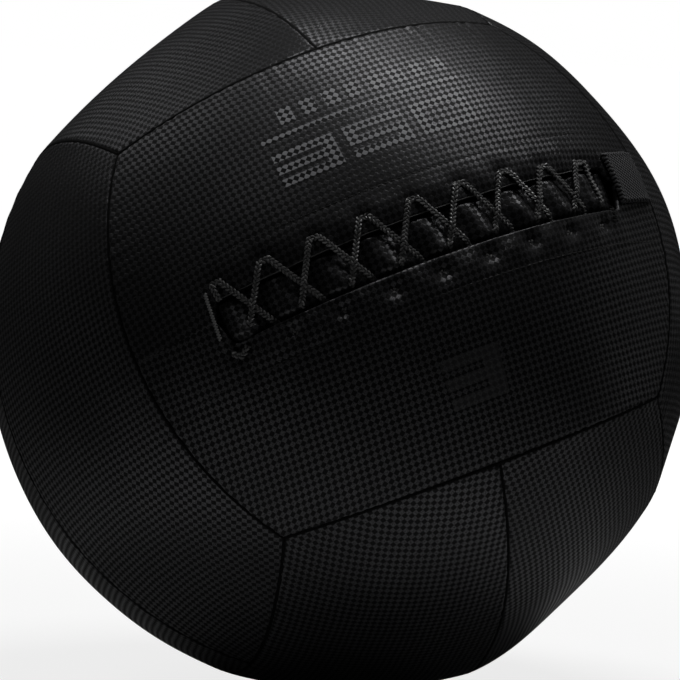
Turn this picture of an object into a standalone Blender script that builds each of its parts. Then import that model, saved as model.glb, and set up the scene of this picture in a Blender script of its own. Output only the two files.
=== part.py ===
"""Laced wall ball: twelve sewn panels, a laced slit over a tongue, and the stuffing and weight inside.

The ball is modelled in its own axes, with the laced face towards -Y, the slit along X and the centre at
the origin. An empty then sets it down on the floor in its resting pose.
"""

import math

import bmesh
import bpy
from mathutils import Matrix, Vector

# The cover's form. Every face of a cube-like layout is two panels wide, split by a dividing seam.
BALL_DIAMETER = 0.350
SEAM_RISE = 0.0020
PANEL_WIDTH_ANGLE = math.radians(38.7)
PANEL_THICKNESS = 0.0018
SEAM_GAP = 0.0004
CREASE_WIDTH = 0.0025
CREASE_DEPTH = 0.0011
PANEL_COLUMNS = 12
PANEL_ROWS = 4

# The laced slit in the front face
SLIT_UPPER_EDGE = 0.0095
SLIT_LOWER_EDGE = 0.0135
SLIT_LEFT = -0.1140
SLIT_RIGHT = 0.1260
SLIT_TAPER = 0.0070
SLIT_SINK = 0.0025
HEM_ROUNDING = 0.0006
HEM_WIDTH = 0.0020
SLIT_COLUMNS = 10

# The lacing
LACE_DIAMETER = 0.0025
LACE_STITCHES = 9
LACE_PITCH = 0.0260
LACE_CENTRE = 0.0005
LACE_BITE = 0.0042
LAST_BITE = 0.0085
UPPER_HOLE_ROW = 0.0175
LOWER_HOLE_ROW = 0.0205
HOLE_DIAMETER = 0.0036
HOLE_SIDES = 8
LACE_CLEARANCE = 0.0003
LACE_BEND = 0.0010
CROSSING_DIP = 0.0013
ENTRY_INSET = 0.0031
ENTRY_DEPTH = 0.0026
UNDER_INSET = 0.0006
LACE_TAIL = 0.0090

# What lies under the slit
FACING_THICKNESS = 0.0010
FACING_WIDTH = 0.0330
FACING_GAP = 0.0004
UNDER_LACE_GAP = 0.00065
TONGUE_THICKNESS = 0.0010
TONGUE_HALF_WIDTH = 0.0340
TONGUE_OVERLAP = 0.0140
TONGUE_GAP = 0.0004
TONGUE_DIP_HALF_WIDTH = 0.0030
TONGUE_DIP_RAMP = 0.0040
TONGUE_BULGE_DEPTH = 0.0022
TONGUE_BULGE_HALF_WIDTH = 0.0045
TONGUE_ENTRY_INSET = 0.0020

# The webbing tab at the slit's right-hand end
TAB_WIDTH = 0.0265
TAB_CENTRE = 0.0020
TAB_THICKNESS = 0.0022
TAB_LENGTH = 0.0300
TAB_GAP = 0.0004
TAB_FOLD_RADIUS = 0.0009
TAB_COLUMNS = 6
TAB_ROWS = 4

# Liner, stuffing and weight
LINER_THICKNESS = 0.0040
LINER_GAP = 0.0008
MOUTH_HALF_WIDTH = 0.0400
MOUTH_MARGIN = 0.0085
STUFFING_GAP = 0.0004
CORE_BAG_DIAMETER = 0.104
CORE_BAG_THICKNESS = 0.0012
CORE_GAP = 0.0004
NECK_RADIUS = 0.0090
NECK_LENGTH = 0.0120
RUFFLE_RADIUS = 0.0170
RUFFLE_LENGTH = 0.0180
TIE_THICKNESS = 0.0030
TURNED_SEGMENTS = 24
TURNED_STEPS = 6
TIE_SIDES = 6

# How the ball rests: on the flattened middle of the left base panel
LEAN_BACK = math.radians(22.0)
SLIT_TILT = math.radians(20.4)
REST_CUT_DEPTH = 0.0005
REST_FINE_REACH = 0.0240
REST_FINE_COLUMNS = 5
REST_FINE_ROWS = 5

# Finishes: colour, roughness, metallic
PANEL_FINISH = ((0.020, 0.020, 0.022), 0.42, 0.0)
CORD_FINISH = ((0.015, 0.015, 0.016), 0.55, 0.0)
WEBBING_FINISH = ((0.030, 0.030, 0.031), 0.80, 0.0)
FACING_FINISH = ((0.025, 0.025, 0.026), 0.75, 0.0)
FELT_FINISH = ((0.32, 0.31, 0.29), 0.95, 0.0)
FIBRE_FINISH = ((0.55, 0.53, 0.50), 0.95, 0.0)
BAG_FINISH = ((0.42, 0.36, 0.26), 0.90, 0.0)
TIE_FINISH = ((0.70, 0.70, 0.68), 0.60, 0.0)
GRIT_FINISH = ((0.13, 0.12, 0.12), 0.55, 0.3)

# Axes of each face: its normal, the run of its dividing seam, and the way across that seam
FACE_AXES = {0: (0, 2, 1), 1: (1, 0, 2), 2: (2, 1, 0)}
FRONT_UPPER = (1, -1, 1)
FRONT_LOWER = (1, -1, -1)
REST_FACE = (2, -1, -1)

# How far each panel is drawn flat across its middle, by its face: the stuffing fills them unevenly.
FLATTENING_SHARES = {
    FRONT_UPPER: 0.30,
    FRONT_LOWER: 0.30,
    (1, 1, 1): 0.30,
    (1, 1, -1): 0.30,
    (2, 1, -1): 0.50,
    (2, 1, 1): 0.50,
    (2, -1, 1): 0.40,
    REST_FACE: 0.10,
    (0, -1, -1): 0.30,
    (0, -1, 1): 0.10,
    (0, 1, -1): 0.10,
    (0, 1, 1): 0.30,
}

# Sizes that follow from the ones above
BALL_RADIUS = BALL_DIAMETER / 2
RIDGE_RADIUS = BALL_RADIUS + SEAM_RISE
END_ANGLE = math.pi / 2 - PANEL_WIDTH_ANGLE
FULL_DROP = RIDGE_RADIUS * (1 - math.cos(PANEL_WIDTH_ANGLE / 2))
FRONT_DROP = FULL_DROP * FLATTENING_SHARES[FRONT_UPPER]
FLATTEST_RADIUS = RIDGE_RADIUS - FULL_DROP * max(FLATTENING_SHARES.values())
PANEL_ARC_WIDTH = BALL_RADIUS * PANEL_WIDTH_ANGLE

# A long seam is an arc that lies in the plane RISE * across - LEAN * outwards = OFFSET
CORNER = 1 / math.sqrt(3)
SEAM_RUN = Vector((math.cos(PANEL_WIDTH_ANGLE) - CORNER, math.sin(PANEL_WIDTH_ANGLE) - CORNER)).normalized()
RISE = SEAM_RUN.x
LEAN = SEAM_RUN.y
OFFSET = CORNER * (RISE - LEAN)

# Depths below the cover's surface, from the outside in
FACING_TOP = PANEL_THICKNESS + FACING_GAP
FACING_BOTTOM = FACING_TOP + FACING_THICKNESS
LACE_UNDER = FACING_BOTTOM + UNDER_LACE_GAP + LACE_DIAMETER / 2
TONGUE_DIP = LACE_UNDER + LACE_DIAMETER / 2 + LACE_CLEARANCE
TONGUE_EDGE = FACING_BOTTOM + TONGUE_GAP
LACE_OVER = LACE_DIAMETER / 2 + LACE_CLEARANCE

# Places along the slit
SLIT_OPEN_LEFT = SLIT_LEFT + SLIT_TAPER
SLIT_OPEN_RIGHT = SLIT_RIGHT - SLIT_TAPER
TONGUE_LEFT = SLIT_LEFT - TONGUE_OVERLAP
TONGUE_RIGHT = SLIT_RIGHT + TONGUE_OVERLAP
TAB_RIGHT = BALL_RADIUS * END_ANGLE - CREASE_WIDTH
TAB_LEFT = TAB_RIGHT - TAB_LENGTH

# Radii of the round pieces inside
LINER_RADIUS = FLATTEST_RADIUS - PANEL_THICKNESS - LINER_GAP
STUFFING_RADIUS = LINER_RADIUS - LINER_THICKNESS - STUFFING_GAP
CORE_BAG_RADIUS = CORE_BAG_DIAMETER / 2
POCKET_RADIUS = RUFFLE_RADIUS + CORE_GAP
BRIM_ANGLE = math.asin(POCKET_RADIUS / (CORE_BAG_RADIUS + CORE_GAP))


def clear_scene():
    """Start from an empty scene."""
    for item in list(bpy.data.objects):
        bpy.data.objects.remove(item, do_unlink=True)


def make_material(name, finish):
    """Plain shaded finish from a colour, a roughness and a metallic value."""
    colour, roughness, metallic = finish
    material = bpy.data.materials.new(name)
    material.use_nodes = True
    shader = material.node_tree.nodes["Principled BSDF"]
    shader.inputs["Base Color"].default_value = (*colour, 1.0)
    shader.inputs["Roughness"].default_value = roughness
    shader.inputs["Metallic"].default_value = metallic
    material.diffuse_color = (*colour, 1.0)
    return material


def add_piece(name, data, finish, stance):
    """Put one named piece under the stance, with its own finish."""
    piece = bpy.data.objects.new(name, data)
    bpy.context.collection.objects.link(piece)
    piece.data.materials.append(make_material(name + "_finish", finish))
    piece.parent = stance
    return piece


def mesh_from(bm, name, smooth_angle=math.radians(30)):
    """Close off a bmesh as a smooth-shaded mesh with its faces pointing out."""
    bmesh.ops.recalc_face_normals(bm, faces=bm.faces)
    mesh = bpy.data.meshes.new(name)
    bm.to_mesh(mesh)
    bm.free()
    mesh.shade_smooth()
    mesh.set_sharp_from_angle(angle=smooth_angle)
    return mesh


def spread(breaks, counts):
    """Values that divide each stretch between two breaks into an even count."""
    values = [breaks[0]]
    for start, stop, count in zip(breaks, breaks[1:], counts):
        values += [start + (stop - start) * step / count for step in range(1, count + 1)]
    return values


def end_share_at(longitude):
    """How far a point of the dividing seam lies towards the end seam, from 0 to 1."""
    return LEAN * math.sin(longitude) / (RISE * math.cos(longitude) - OFFSET)


def across_share_at(outwards, across):
    """How far a point lies from the dividing seam towards the long seam, from 0 to 1."""
    return RISE * across / (OFFSET + LEAN * outwards)


def face_direction(end_share, across_share):
    """Unit direction, as outwards, along and across, of a place on a face given by its two shares."""
    along_rate = end_share * RISE / LEAN
    across_rate = across_share * LEAN / RISE
    near = OFFSET / RISE
    far = OFFSET / LEAN
    square = along_rate ** 2 + 1 + across_rate ** 2
    linear = across_rate ** 2 * far - along_rate ** 2 * near
    constant = (along_rate * near) ** 2 + (across_rate * far) ** 2 - 1
    outwards = (math.sqrt(linear ** 2 - square * constant) - linear) / square
    return outwards, along_rate * (outwards - near), across_rate * (outwards + far)


def surface_radius(outwards, along, across, face):
    """Radius of the cover: proud at every seam, and drawn flat across the middle of each panel."""
    end_share = LEAN * abs(along) / (RISE * outwards - OFFSET)
    across_share = across_share_at(outwards, abs(across))
    swing = (across_share - 0.5) * PANEL_WIDTH_ANGLE
    flatness = 1 - math.cos(PANEL_WIDTH_ANGLE / 2) / math.cos(swing)
    drop = RIDGE_RADIUS * FLATTENING_SHARES[face] * flatness
    if face in (FRONT_UPPER, FRONT_LOWER) and across_share < 0.5:
        drop = FRONT_DROP + (SLIT_SINK - FRONT_DROP) * (1 - 2 * across_share) ** 2
    return RIDGE_RADIUS - drop * (1 - end_share ** 2)


def face_point(face, end_share, across_share, depth):
    """Point of a face in the ball's axes, a depth below the surface."""
    axis, normal_sign, across_sign = face
    outwards, along, across = face_direction(end_share, across_share)
    radius = surface_radius(outwards, along, across, face) - depth
    normal_axis, along_axis, across_axis = FACE_AXES[axis]
    point = Vector((0, 0, 0))
    point[normal_axis] = normal_sign * outwards
    point[along_axis] = along
    point[across_axis] = across_sign * across
    return point * radius


def front_point(along, across, depth):
    """Point of the laced face from its distances along and across the slit, a depth below the surface."""
    longitude = along / BALL_RADIUS
    latitude = across / BALL_RADIUS
    outwards = math.cos(latitude) * math.cos(longitude)
    sideways = math.cos(latitude) * math.sin(longitude)
    up = math.sin(latitude)
    radius = surface_radius(outwards, sideways, up, FRONT_UPPER) - depth
    return Vector((sideways, -outwards, up)) * radius


def skin_mesh(name, outer, inner):
    """Closed solid between two matching grids of points."""
    bm = bmesh.new()
    outer_verts = [[bm.verts.new(point) for point in column] for column in outer]
    inner_verts = [[bm.verts.new(point) for point in column] for column in inner]
    columns = len(outer)
    rows = len(outer[0])
    for grid in (outer_verts, inner_verts):
        for i in range(columns - 1):
            for j in range(rows - 1):
                bm.faces.new((grid[i][j], grid[i + 1][j], grid[i + 1][j + 1], grid[i][j + 1]))
    rim = [(i, 0) for i in range(columns)]
    rim += [(columns - 1, j) for j in range(1, rows)]
    rim += [(i, rows - 1) for i in range(columns - 2, -1, -1)]
    rim += [(0, j) for j in range(rows - 2, 0, -1)]
    for (i, j), (k, m) in zip(rim, rim[1:] + rim[:1]):
        bm.faces.new((outer_verts[i][j], outer_verts[k][m], inner_verts[k][m], inner_verts[i][j]))
    return mesh_from(bm, name)


def cut_flat(mesh, direction, distance):
    """Cut a closed mesh flat where it reaches past a distance along a direction."""
    bm = bmesh.new()
    bm.from_mesh(mesh)
    everything = bm.verts[:] + bm.edges[:] + bm.faces[:]
    bmesh.ops.bisect_plane(
        bm, geom=everything, plane_co=direction * distance, plane_no=direction, clear_outer=True)
    open_edges = [edge for edge in bm.edges if edge.is_boundary]
    bmesh.ops.edgeloop_fill(bm, edges=open_edges)
    bmesh.ops.recalc_face_normals(bm, faces=bm.faces)
    bm.to_mesh(mesh)
    bm.free()
    mesh.shade_smooth()
    mesh.set_sharp_from_angle(angle=math.radians(5))


def resting_direction():
    """Direction from the ball's centre to the floor, in the ball's axes."""
    tilt = Matrix.Rotation(SLIT_TILT, 3, "Y")
    lean = Matrix.Rotation(LEAN_BACK, 3, "X")
    return -(tilt @ lean @ Vector((0, 0, 1)))


def panel_columns(breaks, counts):
    """Longitudes of a panel's columns, with a crease column beside each end seam."""
    inset = SEAM_GAP / 2 / BALL_RADIUS
    crease = inset + CREASE_WIDTH / BALL_RADIUS
    breaks = [-END_ANGLE + crease] + breaks + [END_ANGLE - crease]
    return [-END_ANGLE + inset] + spread(breaks, counts) + [END_ANGLE - inset]


def panel_rows(breaks, counts):
    """Shares across a panel of its rows, with a crease row beside each long seam."""
    inset = SEAM_GAP / 2 / PANEL_ARC_WIDTH
    crease = inset + CREASE_WIDTH / PANEL_ARC_WIDTH
    breaks = [crease] + breaks + [1 - crease]
    return [inset] + spread(breaks, counts) + [1 - inset]


def plain_panel(face, columns, rows, name):
    """One sewn panel whose four edges roll down into the seams."""
    outer = []
    inner = []
    for i, longitude in enumerate(columns):
        end_share = end_share_at(longitude)
        outer_column = []
        for j, across_share in enumerate(rows):
            on_seam = i in (0, len(columns) - 1) or j in (0, len(rows) - 1)
            outer_column.append(face_point(face, end_share, across_share, CREASE_DEPTH if on_seam else 0))
        outer.append(outer_column)
        inner.append([face_point(face, end_share, share, PANEL_THICKNESS) for share in rows])
    return skin_mesh(name, outer, inner)


def slit_edge_at(along, open_edge):
    """Distance of a slit edge from the slit's line, closing to a plain seam past both ends."""
    if along <= SLIT_LEFT or along >= SLIT_RIGHT:
        return SEAM_GAP / 2
    if along < SLIT_OPEN_LEFT:
        openness = (along - SLIT_LEFT) / SLIT_TAPER
    elif along > SLIT_OPEN_RIGHT:
        openness = (SLIT_RIGHT - along) / SLIT_TAPER
    else:
        openness = 1
    return SEAM_GAP / 2 + (open_edge - SEAM_GAP / 2) * openness


def slit_share_at(longitude, distance):
    """Share across the front face of a distance from the slit's line."""
    latitude = distance / BALL_RADIUS
    return across_share_at(math.cos(latitude) * math.cos(longitude), math.sin(latitude))


def slit_columns():
    """Longitudes of the columns of a panel beside the slit."""
    breaks = [place / BALL_RADIUS for place in (SLIT_LEFT, SLIT_OPEN_LEFT, SLIT_OPEN_RIGHT, SLIT_RIGHT)]
    return panel_columns(breaks, (2, 1, SLIT_COLUMNS, 1, 2))


def front_panel(face, open_edge, name):
    """Panel beside the slit: three seams, and a rounded hem along the slit."""
    columns = slit_columns()
    crease = CREASE_WIDTH / PANEL_ARC_WIDTH
    last_share = 1 - SEAM_GAP / 2 / PANEL_ARC_WIDTH
    outer = []
    inner = []
    for i, longitude in enumerate(columns):
        end_share = end_share_at(longitude)
        edge = slit_edge_at(longitude * BALL_RADIUS, open_edge)
        places = (edge, edge + HEM_WIDTH, FACING_WIDTH)
        first, hem, stitching = [slit_share_at(longitude, place) for place in places]
        rows = [first] + spread([hem, stitching, last_share - crease], (PANEL_ROWS // 2, PANEL_ROWS - 1))
        rows.append(last_share)
        outer_column = []
        for j, across_share in enumerate(rows):
            depth = 0
            if j == 0:
                depth = HEM_ROUNDING
            if i in (0, len(columns) - 1) or j == len(rows) - 1:
                depth = CREASE_DEPTH
            outer_column.append(face_point(face, end_share, across_share, depth))
        outer.append(outer_column)
        inner.append([face_point(face, end_share, share, PANEL_THICKNESS) for share in rows])
    return skin_mesh(name, outer, inner)


def facing(across_sign, open_edge, name):
    """Reinforcing strip behind one edge of the slit, from end seam to end seam."""
    face = (1, -1, across_sign)
    outer = []
    inner = []
    for longitude in slit_columns()[1:-1]:
        edge = slit_edge_at(longitude * BALL_RADIUS, open_edge)
        places = (edge, edge + HEM_WIDTH, FACING_WIDTH)
        first, hem, stitching = [slit_share_at(longitude, place) for place in places]
        shares = [first] + spread([hem, stitching], [PANEL_ROWS // 2])
        end_share = end_share_at(longitude)
        outer.append([face_point(face, end_share, share, FACING_TOP) for share in shares])
        inner.append([face_point(face, end_share, share, FACING_BOTTOM) for share in shares])
    return skin_mesh(name, outer, inner)


def bites():
    """Every place where the lace bites into an edge, in its own order: arrival, departure and row."""
    middle = (LACE_STITCHES - 1) / 2
    places = [LACE_CENTRE + (index - middle) * LACE_PITCH for index in range(LACE_STITCHES)]
    half = LACE_BITE / 2
    rows = (-LOWER_HOLE_ROW, UPPER_HOLE_ROW)
    outbound = [(place - half, place + half, rows[index % 2]) for index, place in enumerate(places)]
    homeward = [(place + half, place - half, rows[(index + 1) % 2]) for index, place in enumerate(places)]
    far_end = homeward.pop()
    homeward.append((far_end[1] + LAST_BITE, far_end[1], far_end[2]))
    return outbound + homeward[::-1]


def hole_cutters(row, name, stance):
    """One prism through the panel and its facing for every hole of a row."""
    bm = bmesh.new()
    for arrival, departure, bite_row in bites():
        if bite_row != row:
            continue
        for along in (arrival, departure):
            outside = front_point(along, row, -HOLE_DIAMETER)
            inside = front_point(along, row, FACING_BOTTOM + HOLE_DIAMETER)
            axis = (outside - inside).normalized()
            turn = axis.to_track_quat("Z", "Y").to_matrix()
            rings = []
            for end in (inside, outside):
                ring = []
                for side in range(HOLE_SIDES):
                    angle = math.tau * (side + 0.5) / HOLE_SIDES
                    reach = Vector((math.cos(angle), math.sin(angle), 0)) * HOLE_DIAMETER / 2
                    ring.append(bm.verts.new(end + turn @ reach))
                rings.append(ring)
            bm.faces.new(rings[0][::-1])
            bm.faces.new(rings[1])
            for side in range(HOLE_SIDES):
                after = (side + 1) % HOLE_SIDES
                bm.faces.new((rings[0][side], rings[0][after], rings[1][after], rings[1][side]))
    cutter = bpy.data.objects.new(name, mesh_from(bm, name))
    bpy.context.collection.objects.link(cutter)
    cutter.hide_render = True
    cutter.display_type = "WIRE"
    cutter.parent = stance
    return cutter


def cut_with(piece, cutter):
    """Cut one piece with another, kept as a modifier."""
    modifier = piece.modifiers.new("holes", "BOOLEAN")
    modifier.operation = "DIFFERENCE"
    modifier.solver = "EXACT"
    modifier.object = cutter


def bite_points(bite, before, after):
    """The lace through one hole, along the far side and back through the next, its bends cut across.

    At the upper edge the strands lie outside and the bite inside. At the lower edge it is the other way.
    """
    arrival, departure, row = bite
    near, far = (-LACE_OVER, LACE_UNDER) if row > 0 else (LACE_UNDER, -LACE_OVER)
    bend = math.copysign(LACE_BEND, far - near)
    step = math.copysign(LACE_BEND, departure - arrival)
    return [
        (*towards(arrival, row, before), near),
        (arrival, row, near + bend),
        (arrival, row, far - bend),
        (arrival + step, row, far),
        (departure - step, row, far),
        (departure, row, far - bend),
        (departure, row, near + bend),
        (*towards(departure, row, after), near),
    ]


def towards(along, row, target):
    """Place one bend away from a hole, on the way to a target place."""
    run = Vector((target[0] - along, target[1] - row)).normalized() * LACE_BEND
    return along + run.x, row + run.y


def strand_points(start, stop):
    """Inner points of one strand: over the upper edge, over or under the other strand, below the lower edge.

    A strand that rises to the right lies over the one that it crosses.
    """
    upper, lower = (start, stop) if start[1] > 0 else (stop, start)
    on_top = upper[0] - lower[0] > LAST_BITE
    middle = (upper[1] + lower[1]) / 2
    level = CROSSING_DIP - LACE_OVER
    if on_top:
        levels = [(middle, level - LACE_DIAMETER - LACE_CLEARANCE)]
    else:
        levels = [(SLIT_UPPER_EDGE, -LACE_OVER), (middle, level)]
    levels.append((ENTRY_INSET - SLIT_LOWER_EDGE, ENTRY_DEPTH))
    levels.append((UNDER_INSET - SLIT_LOWER_EDGE, LACE_UNDER))
    points = []
    for across, depth in levels:
        share = (across - upper[1]) / (lower[1] - upper[1])
        points.append((upper[0] + share * (lower[0] - upper[0]), across, depth))
    return points if start is upper else points[::-1]


def lace_route():
    """Whole centre line of the lace: out along the slit in a zigzag, back in the other zigzag."""
    order = bites()
    arrivals = [(arrival, row) for arrival, _, row in order]
    departures = [(departure, row) for _, departure, row in order]
    first_tail = (arrivals[0][0] - LACE_TAIL, arrivals[0][1])
    last_tail = (departures[-1][0], departures[-1][1] - LACE_TAIL)
    route = [(*first_tail, LACE_UNDER)]
    for index, bite in enumerate(order):
        before = departures[index - 1] if index > 0 else first_tail
        after = arrivals[index + 1] if index + 1 < len(order) else last_tail
        route += bite_points(bite, before, after)
        if index + 1 < len(order):
            route += strand_points(departures[index], arrivals[index + 1])
    route.append((*last_tail, -LACE_OVER))
    return route


def lace_curve(name):
    """The lace as a round cord with filled ends."""
    curve = bpy.data.curves.new(name, "CURVE")
    curve.dimensions = "3D"
    curve.bevel_depth = LACE_DIAMETER / 2
    curve.bevel_resolution = 2
    curve.use_fill_caps = True
    route = lace_route()
    spline = curve.splines.new("POLY")
    spline.points.add(len(route) - 1)
    for point, (along, across, depth) in zip(spline.points, route):
        point.co = (*front_point(along, across, depth), 1)
    return curve


def tongue_profile():
    """Places across the tongue with their depths, apart from the bulge's, which is marked with None."""
    flat = TONGUE_DIP_HALF_WIDTH
    ramp = TONGUE_DIP_HALF_WIDTH + TONGUE_DIP_RAMP
    return [
        (-TONGUE_HALF_WIDTH, TONGUE_EDGE),
        (-LOWER_HOLE_ROW - ramp, TONGUE_EDGE),
        (-LOWER_HOLE_ROW - flat, TONGUE_DIP),
        (TONGUE_ENTRY_INSET - SLIT_LOWER_EDGE, TONGUE_DIP),
        (-TONGUE_BULGE_HALF_WIDTH, None),
        (TONGUE_BULGE_HALF_WIDTH, None),
        (UPPER_HOLE_ROW - flat, TONGUE_DIP),
        (UPPER_HOLE_ROW + flat, TONGUE_DIP),
        (UPPER_HOLE_ROW + ramp, TONGUE_EDGE),
        (TONGUE_HALF_WIDTH, TONGUE_EDGE),
    ]


def tongue(name):
    """Tongue under the slit: sunk under both rows of holes, and puffed up between them."""
    breaks = (TONGUE_LEFT, SLIT_LEFT, SLIT_OPEN_LEFT, SLIT_OPEN_RIGHT, SLIT_RIGHT, TONGUE_RIGHT)
    columns = spread(breaks, (1, 1, SLIT_COLUMNS, 1, 1))
    outer = []
    inner = []
    for along in columns:
        puffed = SLIT_OPEN_LEFT < along < SLIT_OPEN_RIGHT
        outer_column = []
        inner_column = []
        for across, depth in tongue_profile():
            if depth is None:
                depth = TONGUE_BULGE_DEPTH if puffed else TONGUE_DIP
            outer_column.append(front_point(along, across, depth))
            inner_column.append(front_point(along, across, depth + TONGUE_THICKNESS))
        outer.append(outer_column)
        inner.append(inner_column)
    return skin_mesh(name, outer, inner)


def webbing_tab(name):
    """Flat webbing tab over the slit's end, with its rounded fold towards the lacing."""
    columns = [TAB_LEFT] + spread([TAB_LEFT + TAB_FOLD_RADIUS, TAB_RIGHT], [TAB_COLUMNS])
    half = TAB_WIDTH / 2
    rows = spread([TAB_CENTRE - half, TAB_CENTRE + half], [TAB_ROWS])
    top = TAB_GAP + TAB_THICKNESS
    outer = []
    inner = []
    for index, along in enumerate(columns):
        rounding = TAB_FOLD_RADIUS if index == 0 else 0
        outer.append([front_point(along, across, rounding - top) for across in rows])
        inner.append([front_point(along, across, -TAB_GAP - rounding / 2) for across in rows])
    return skin_mesh(name, outer, inner)


def turned_mesh(profile, segments, name):
    """Solid turned about the line through the laced face, from a closed profile of radius and reach."""
    bm = bmesh.new()
    rings = []
    for radius, reach in profile:
        if radius == 0:
            rings.append([bm.verts.new((0, -reach, 0))] * segments)
            continue
        ring = []
        for segment in range(segments):
            angle = math.tau * segment / segments
            ring.append(bm.verts.new((radius * math.cos(angle), -reach, radius * math.sin(angle))))
        rings.append(ring)
    for ring, following in zip(rings, rings[1:] + rings[:1]):
        for segment in range(segments):
            after = (segment + 1) % segments
            corners = (ring[segment], ring[after], following[after], following[segment])
            corners = list(dict.fromkeys(corners))
            if len(corners) > 2:
                bm.faces.new(corners)
    return mesh_from(bm, name)


def arc(radius, breaks, counts):
    """Profile points on a circle about the centre, by angle from the axis."""
    angles = spread(breaks, counts)
    points = [(radius * math.sin(angle), radius * math.cos(angle)) for angle in angles]
    return [(0 if abs(across) < radius * 1e-9 else across, reach) for across, reach in points]


def felt_liner(name, stance):
    """Round felt liner with the mouth it is filled through."""
    whole = arc(LINER_RADIUS, (0, math.pi), [2 * TURNED_STEPS])
    hollow = arc(LINER_RADIUS - LINER_THICKNESS, (math.pi, 0), [2 * TURNED_STEPS])
    bm = bmesh.new()
    for profile in (whole, hollow):
        turned = turned_mesh(profile, TURNED_SEGMENTS, name)
        if profile is hollow:
            turned.flip_normals()
        bm.from_mesh(turned)
        bpy.data.meshes.remove(turned)
    mesh = bpy.data.meshes.new(name)
    bm.to_mesh(mesh)
    bm.free()
    mesh.shade_smooth()
    liner = add_piece(name, mesh, FELT_FINISH, stance)
    half_length = LINER_RADIUS * math.sin((TONGUE_RIGHT + MOUTH_MARGIN) / BALL_RADIUS)
    bm = bmesh.new()
    bmesh.ops.create_cube(bm, size=1)
    size = Matrix.Diagonal((2 * half_length, BALL_RADIUS, 2 * MOUTH_HALF_WIDTH, 1))
    place = Matrix.Translation((0, -LINER_RADIUS, 0))
    bmesh.ops.transform(bm, matrix=place @ size, verts=bm.verts)
    cutter = bpy.data.objects.new("mouth_cutter", mesh_from(bm, "mouth_cutter"))
    bpy.context.collection.objects.link(cutter)
    cutter.hide_render = True
    cutter.display_type = "WIRE"
    cutter.parent = stance
    cut_with(liner, cutter)
    return liner


def neck_reaches():
    """Reach from the centre of the core bag's shoulder, the neck's end and the ruffle's end."""
    shoulder = math.sqrt(CORE_BAG_RADIUS ** 2 - NECK_RADIUS ** 2)
    neck_end = shoulder + NECK_LENGTH
    return shoulder, neck_end, neck_end + RUFFLE_LENGTH


def stuffing(front, name):
    """Half of the stuffing. The front half has a pocket for the core bag's neck."""
    hollow_radius = CORE_BAG_RADIUS + CORE_GAP
    parting = STUFFING_GAP / 2
    profile = arc(STUFFING_RADIUS, (0, math.pi / 2), [TURNED_STEPS])
    profile[-1] = (profile[-1][0], parting)
    if front:
        pocket_end = neck_reaches()[2] + CORE_GAP
        hollow = arc(hollow_radius, (math.pi / 2, BRIM_ANGLE), [TURNED_STEPS - 1])
        hollow[0] = (hollow[0][0], parting)
        hollow += [(POCKET_RADIUS, pocket_end), (0, pocket_end)]
    else:
        hollow = arc(hollow_radius, (math.pi / 2, 0), [TURNED_STEPS])
        hollow[0] = (hollow[0][0], parting)
    profile += hollow
    if not front:
        profile = [(radius, -reach) for radius, reach in profile]
    return turned_mesh(profile, TURNED_SEGMENTS, name)


def core_bag(name):
    """Round cloth bag with a gathered neck and an open ruffle."""
    shoulder, neck_end, ruffle_end = neck_reaches()
    neck_angle = math.asin(NECK_RADIUS / CORE_BAG_RADIUS)
    counts = (TURNED_STEPS, TURNED_STEPS - 1, 1)
    outer = arc(CORE_BAG_RADIUS, (math.pi, math.pi / 2, BRIM_ANGLE, neck_angle), counts)
    outer += [(NECK_RADIUS, neck_end), (RUFFLE_RADIUS, ruffle_end)]
    bore = NECK_RADIUS - CORE_BAG_THICKNESS
    inner_radius = CORE_BAG_RADIUS - CORE_BAG_THICKNESS
    inner_angle = math.asin(bore / inner_radius)
    inner = [(RUFFLE_RADIUS - CORE_BAG_THICKNESS, ruffle_end), (bore, neck_end)]
    inner += arc(inner_radius, (inner_angle, BRIM_ANGLE, math.pi / 2, math.pi), counts[::-1])
    return turned_mesh(outer + inner, TURNED_SEGMENTS, name)


def core_weight(name):
    """Grit that fills the bag up to the foot of its neck."""
    radius = CORE_BAG_RADIUS - CORE_BAG_THICKNESS - CORE_GAP
    first = math.asin(NECK_RADIUS / radius)
    top = radius * math.cos(first)
    counts = (1, TURNED_STEPS - 1, TURNED_STEPS)
    profile = [(0, top)] + arc(radius, (first, BRIM_ANGLE, math.pi / 2, math.pi), counts)
    return turned_mesh(profile, TURNED_SEGMENTS, name)


def core_bag_tie(name):
    """Ring of cord round the bag's neck."""
    shoulder, neck_end, _ = neck_reaches()
    ring_radius = NECK_RADIUS + CORE_GAP + TIE_THICKNESS / 2
    middle = (shoulder + neck_end) / 2
    profile = []
    for side in range(TIE_SIDES):
        angle = math.tau * side / TIE_SIDES
        across = ring_radius + TIE_THICKNESS / 2 * math.cos(angle)
        profile.append((across, middle + TIE_THICKNESS / 2 * math.sin(angle)))
    return turned_mesh(profile, TURNED_SEGMENTS, name)


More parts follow.
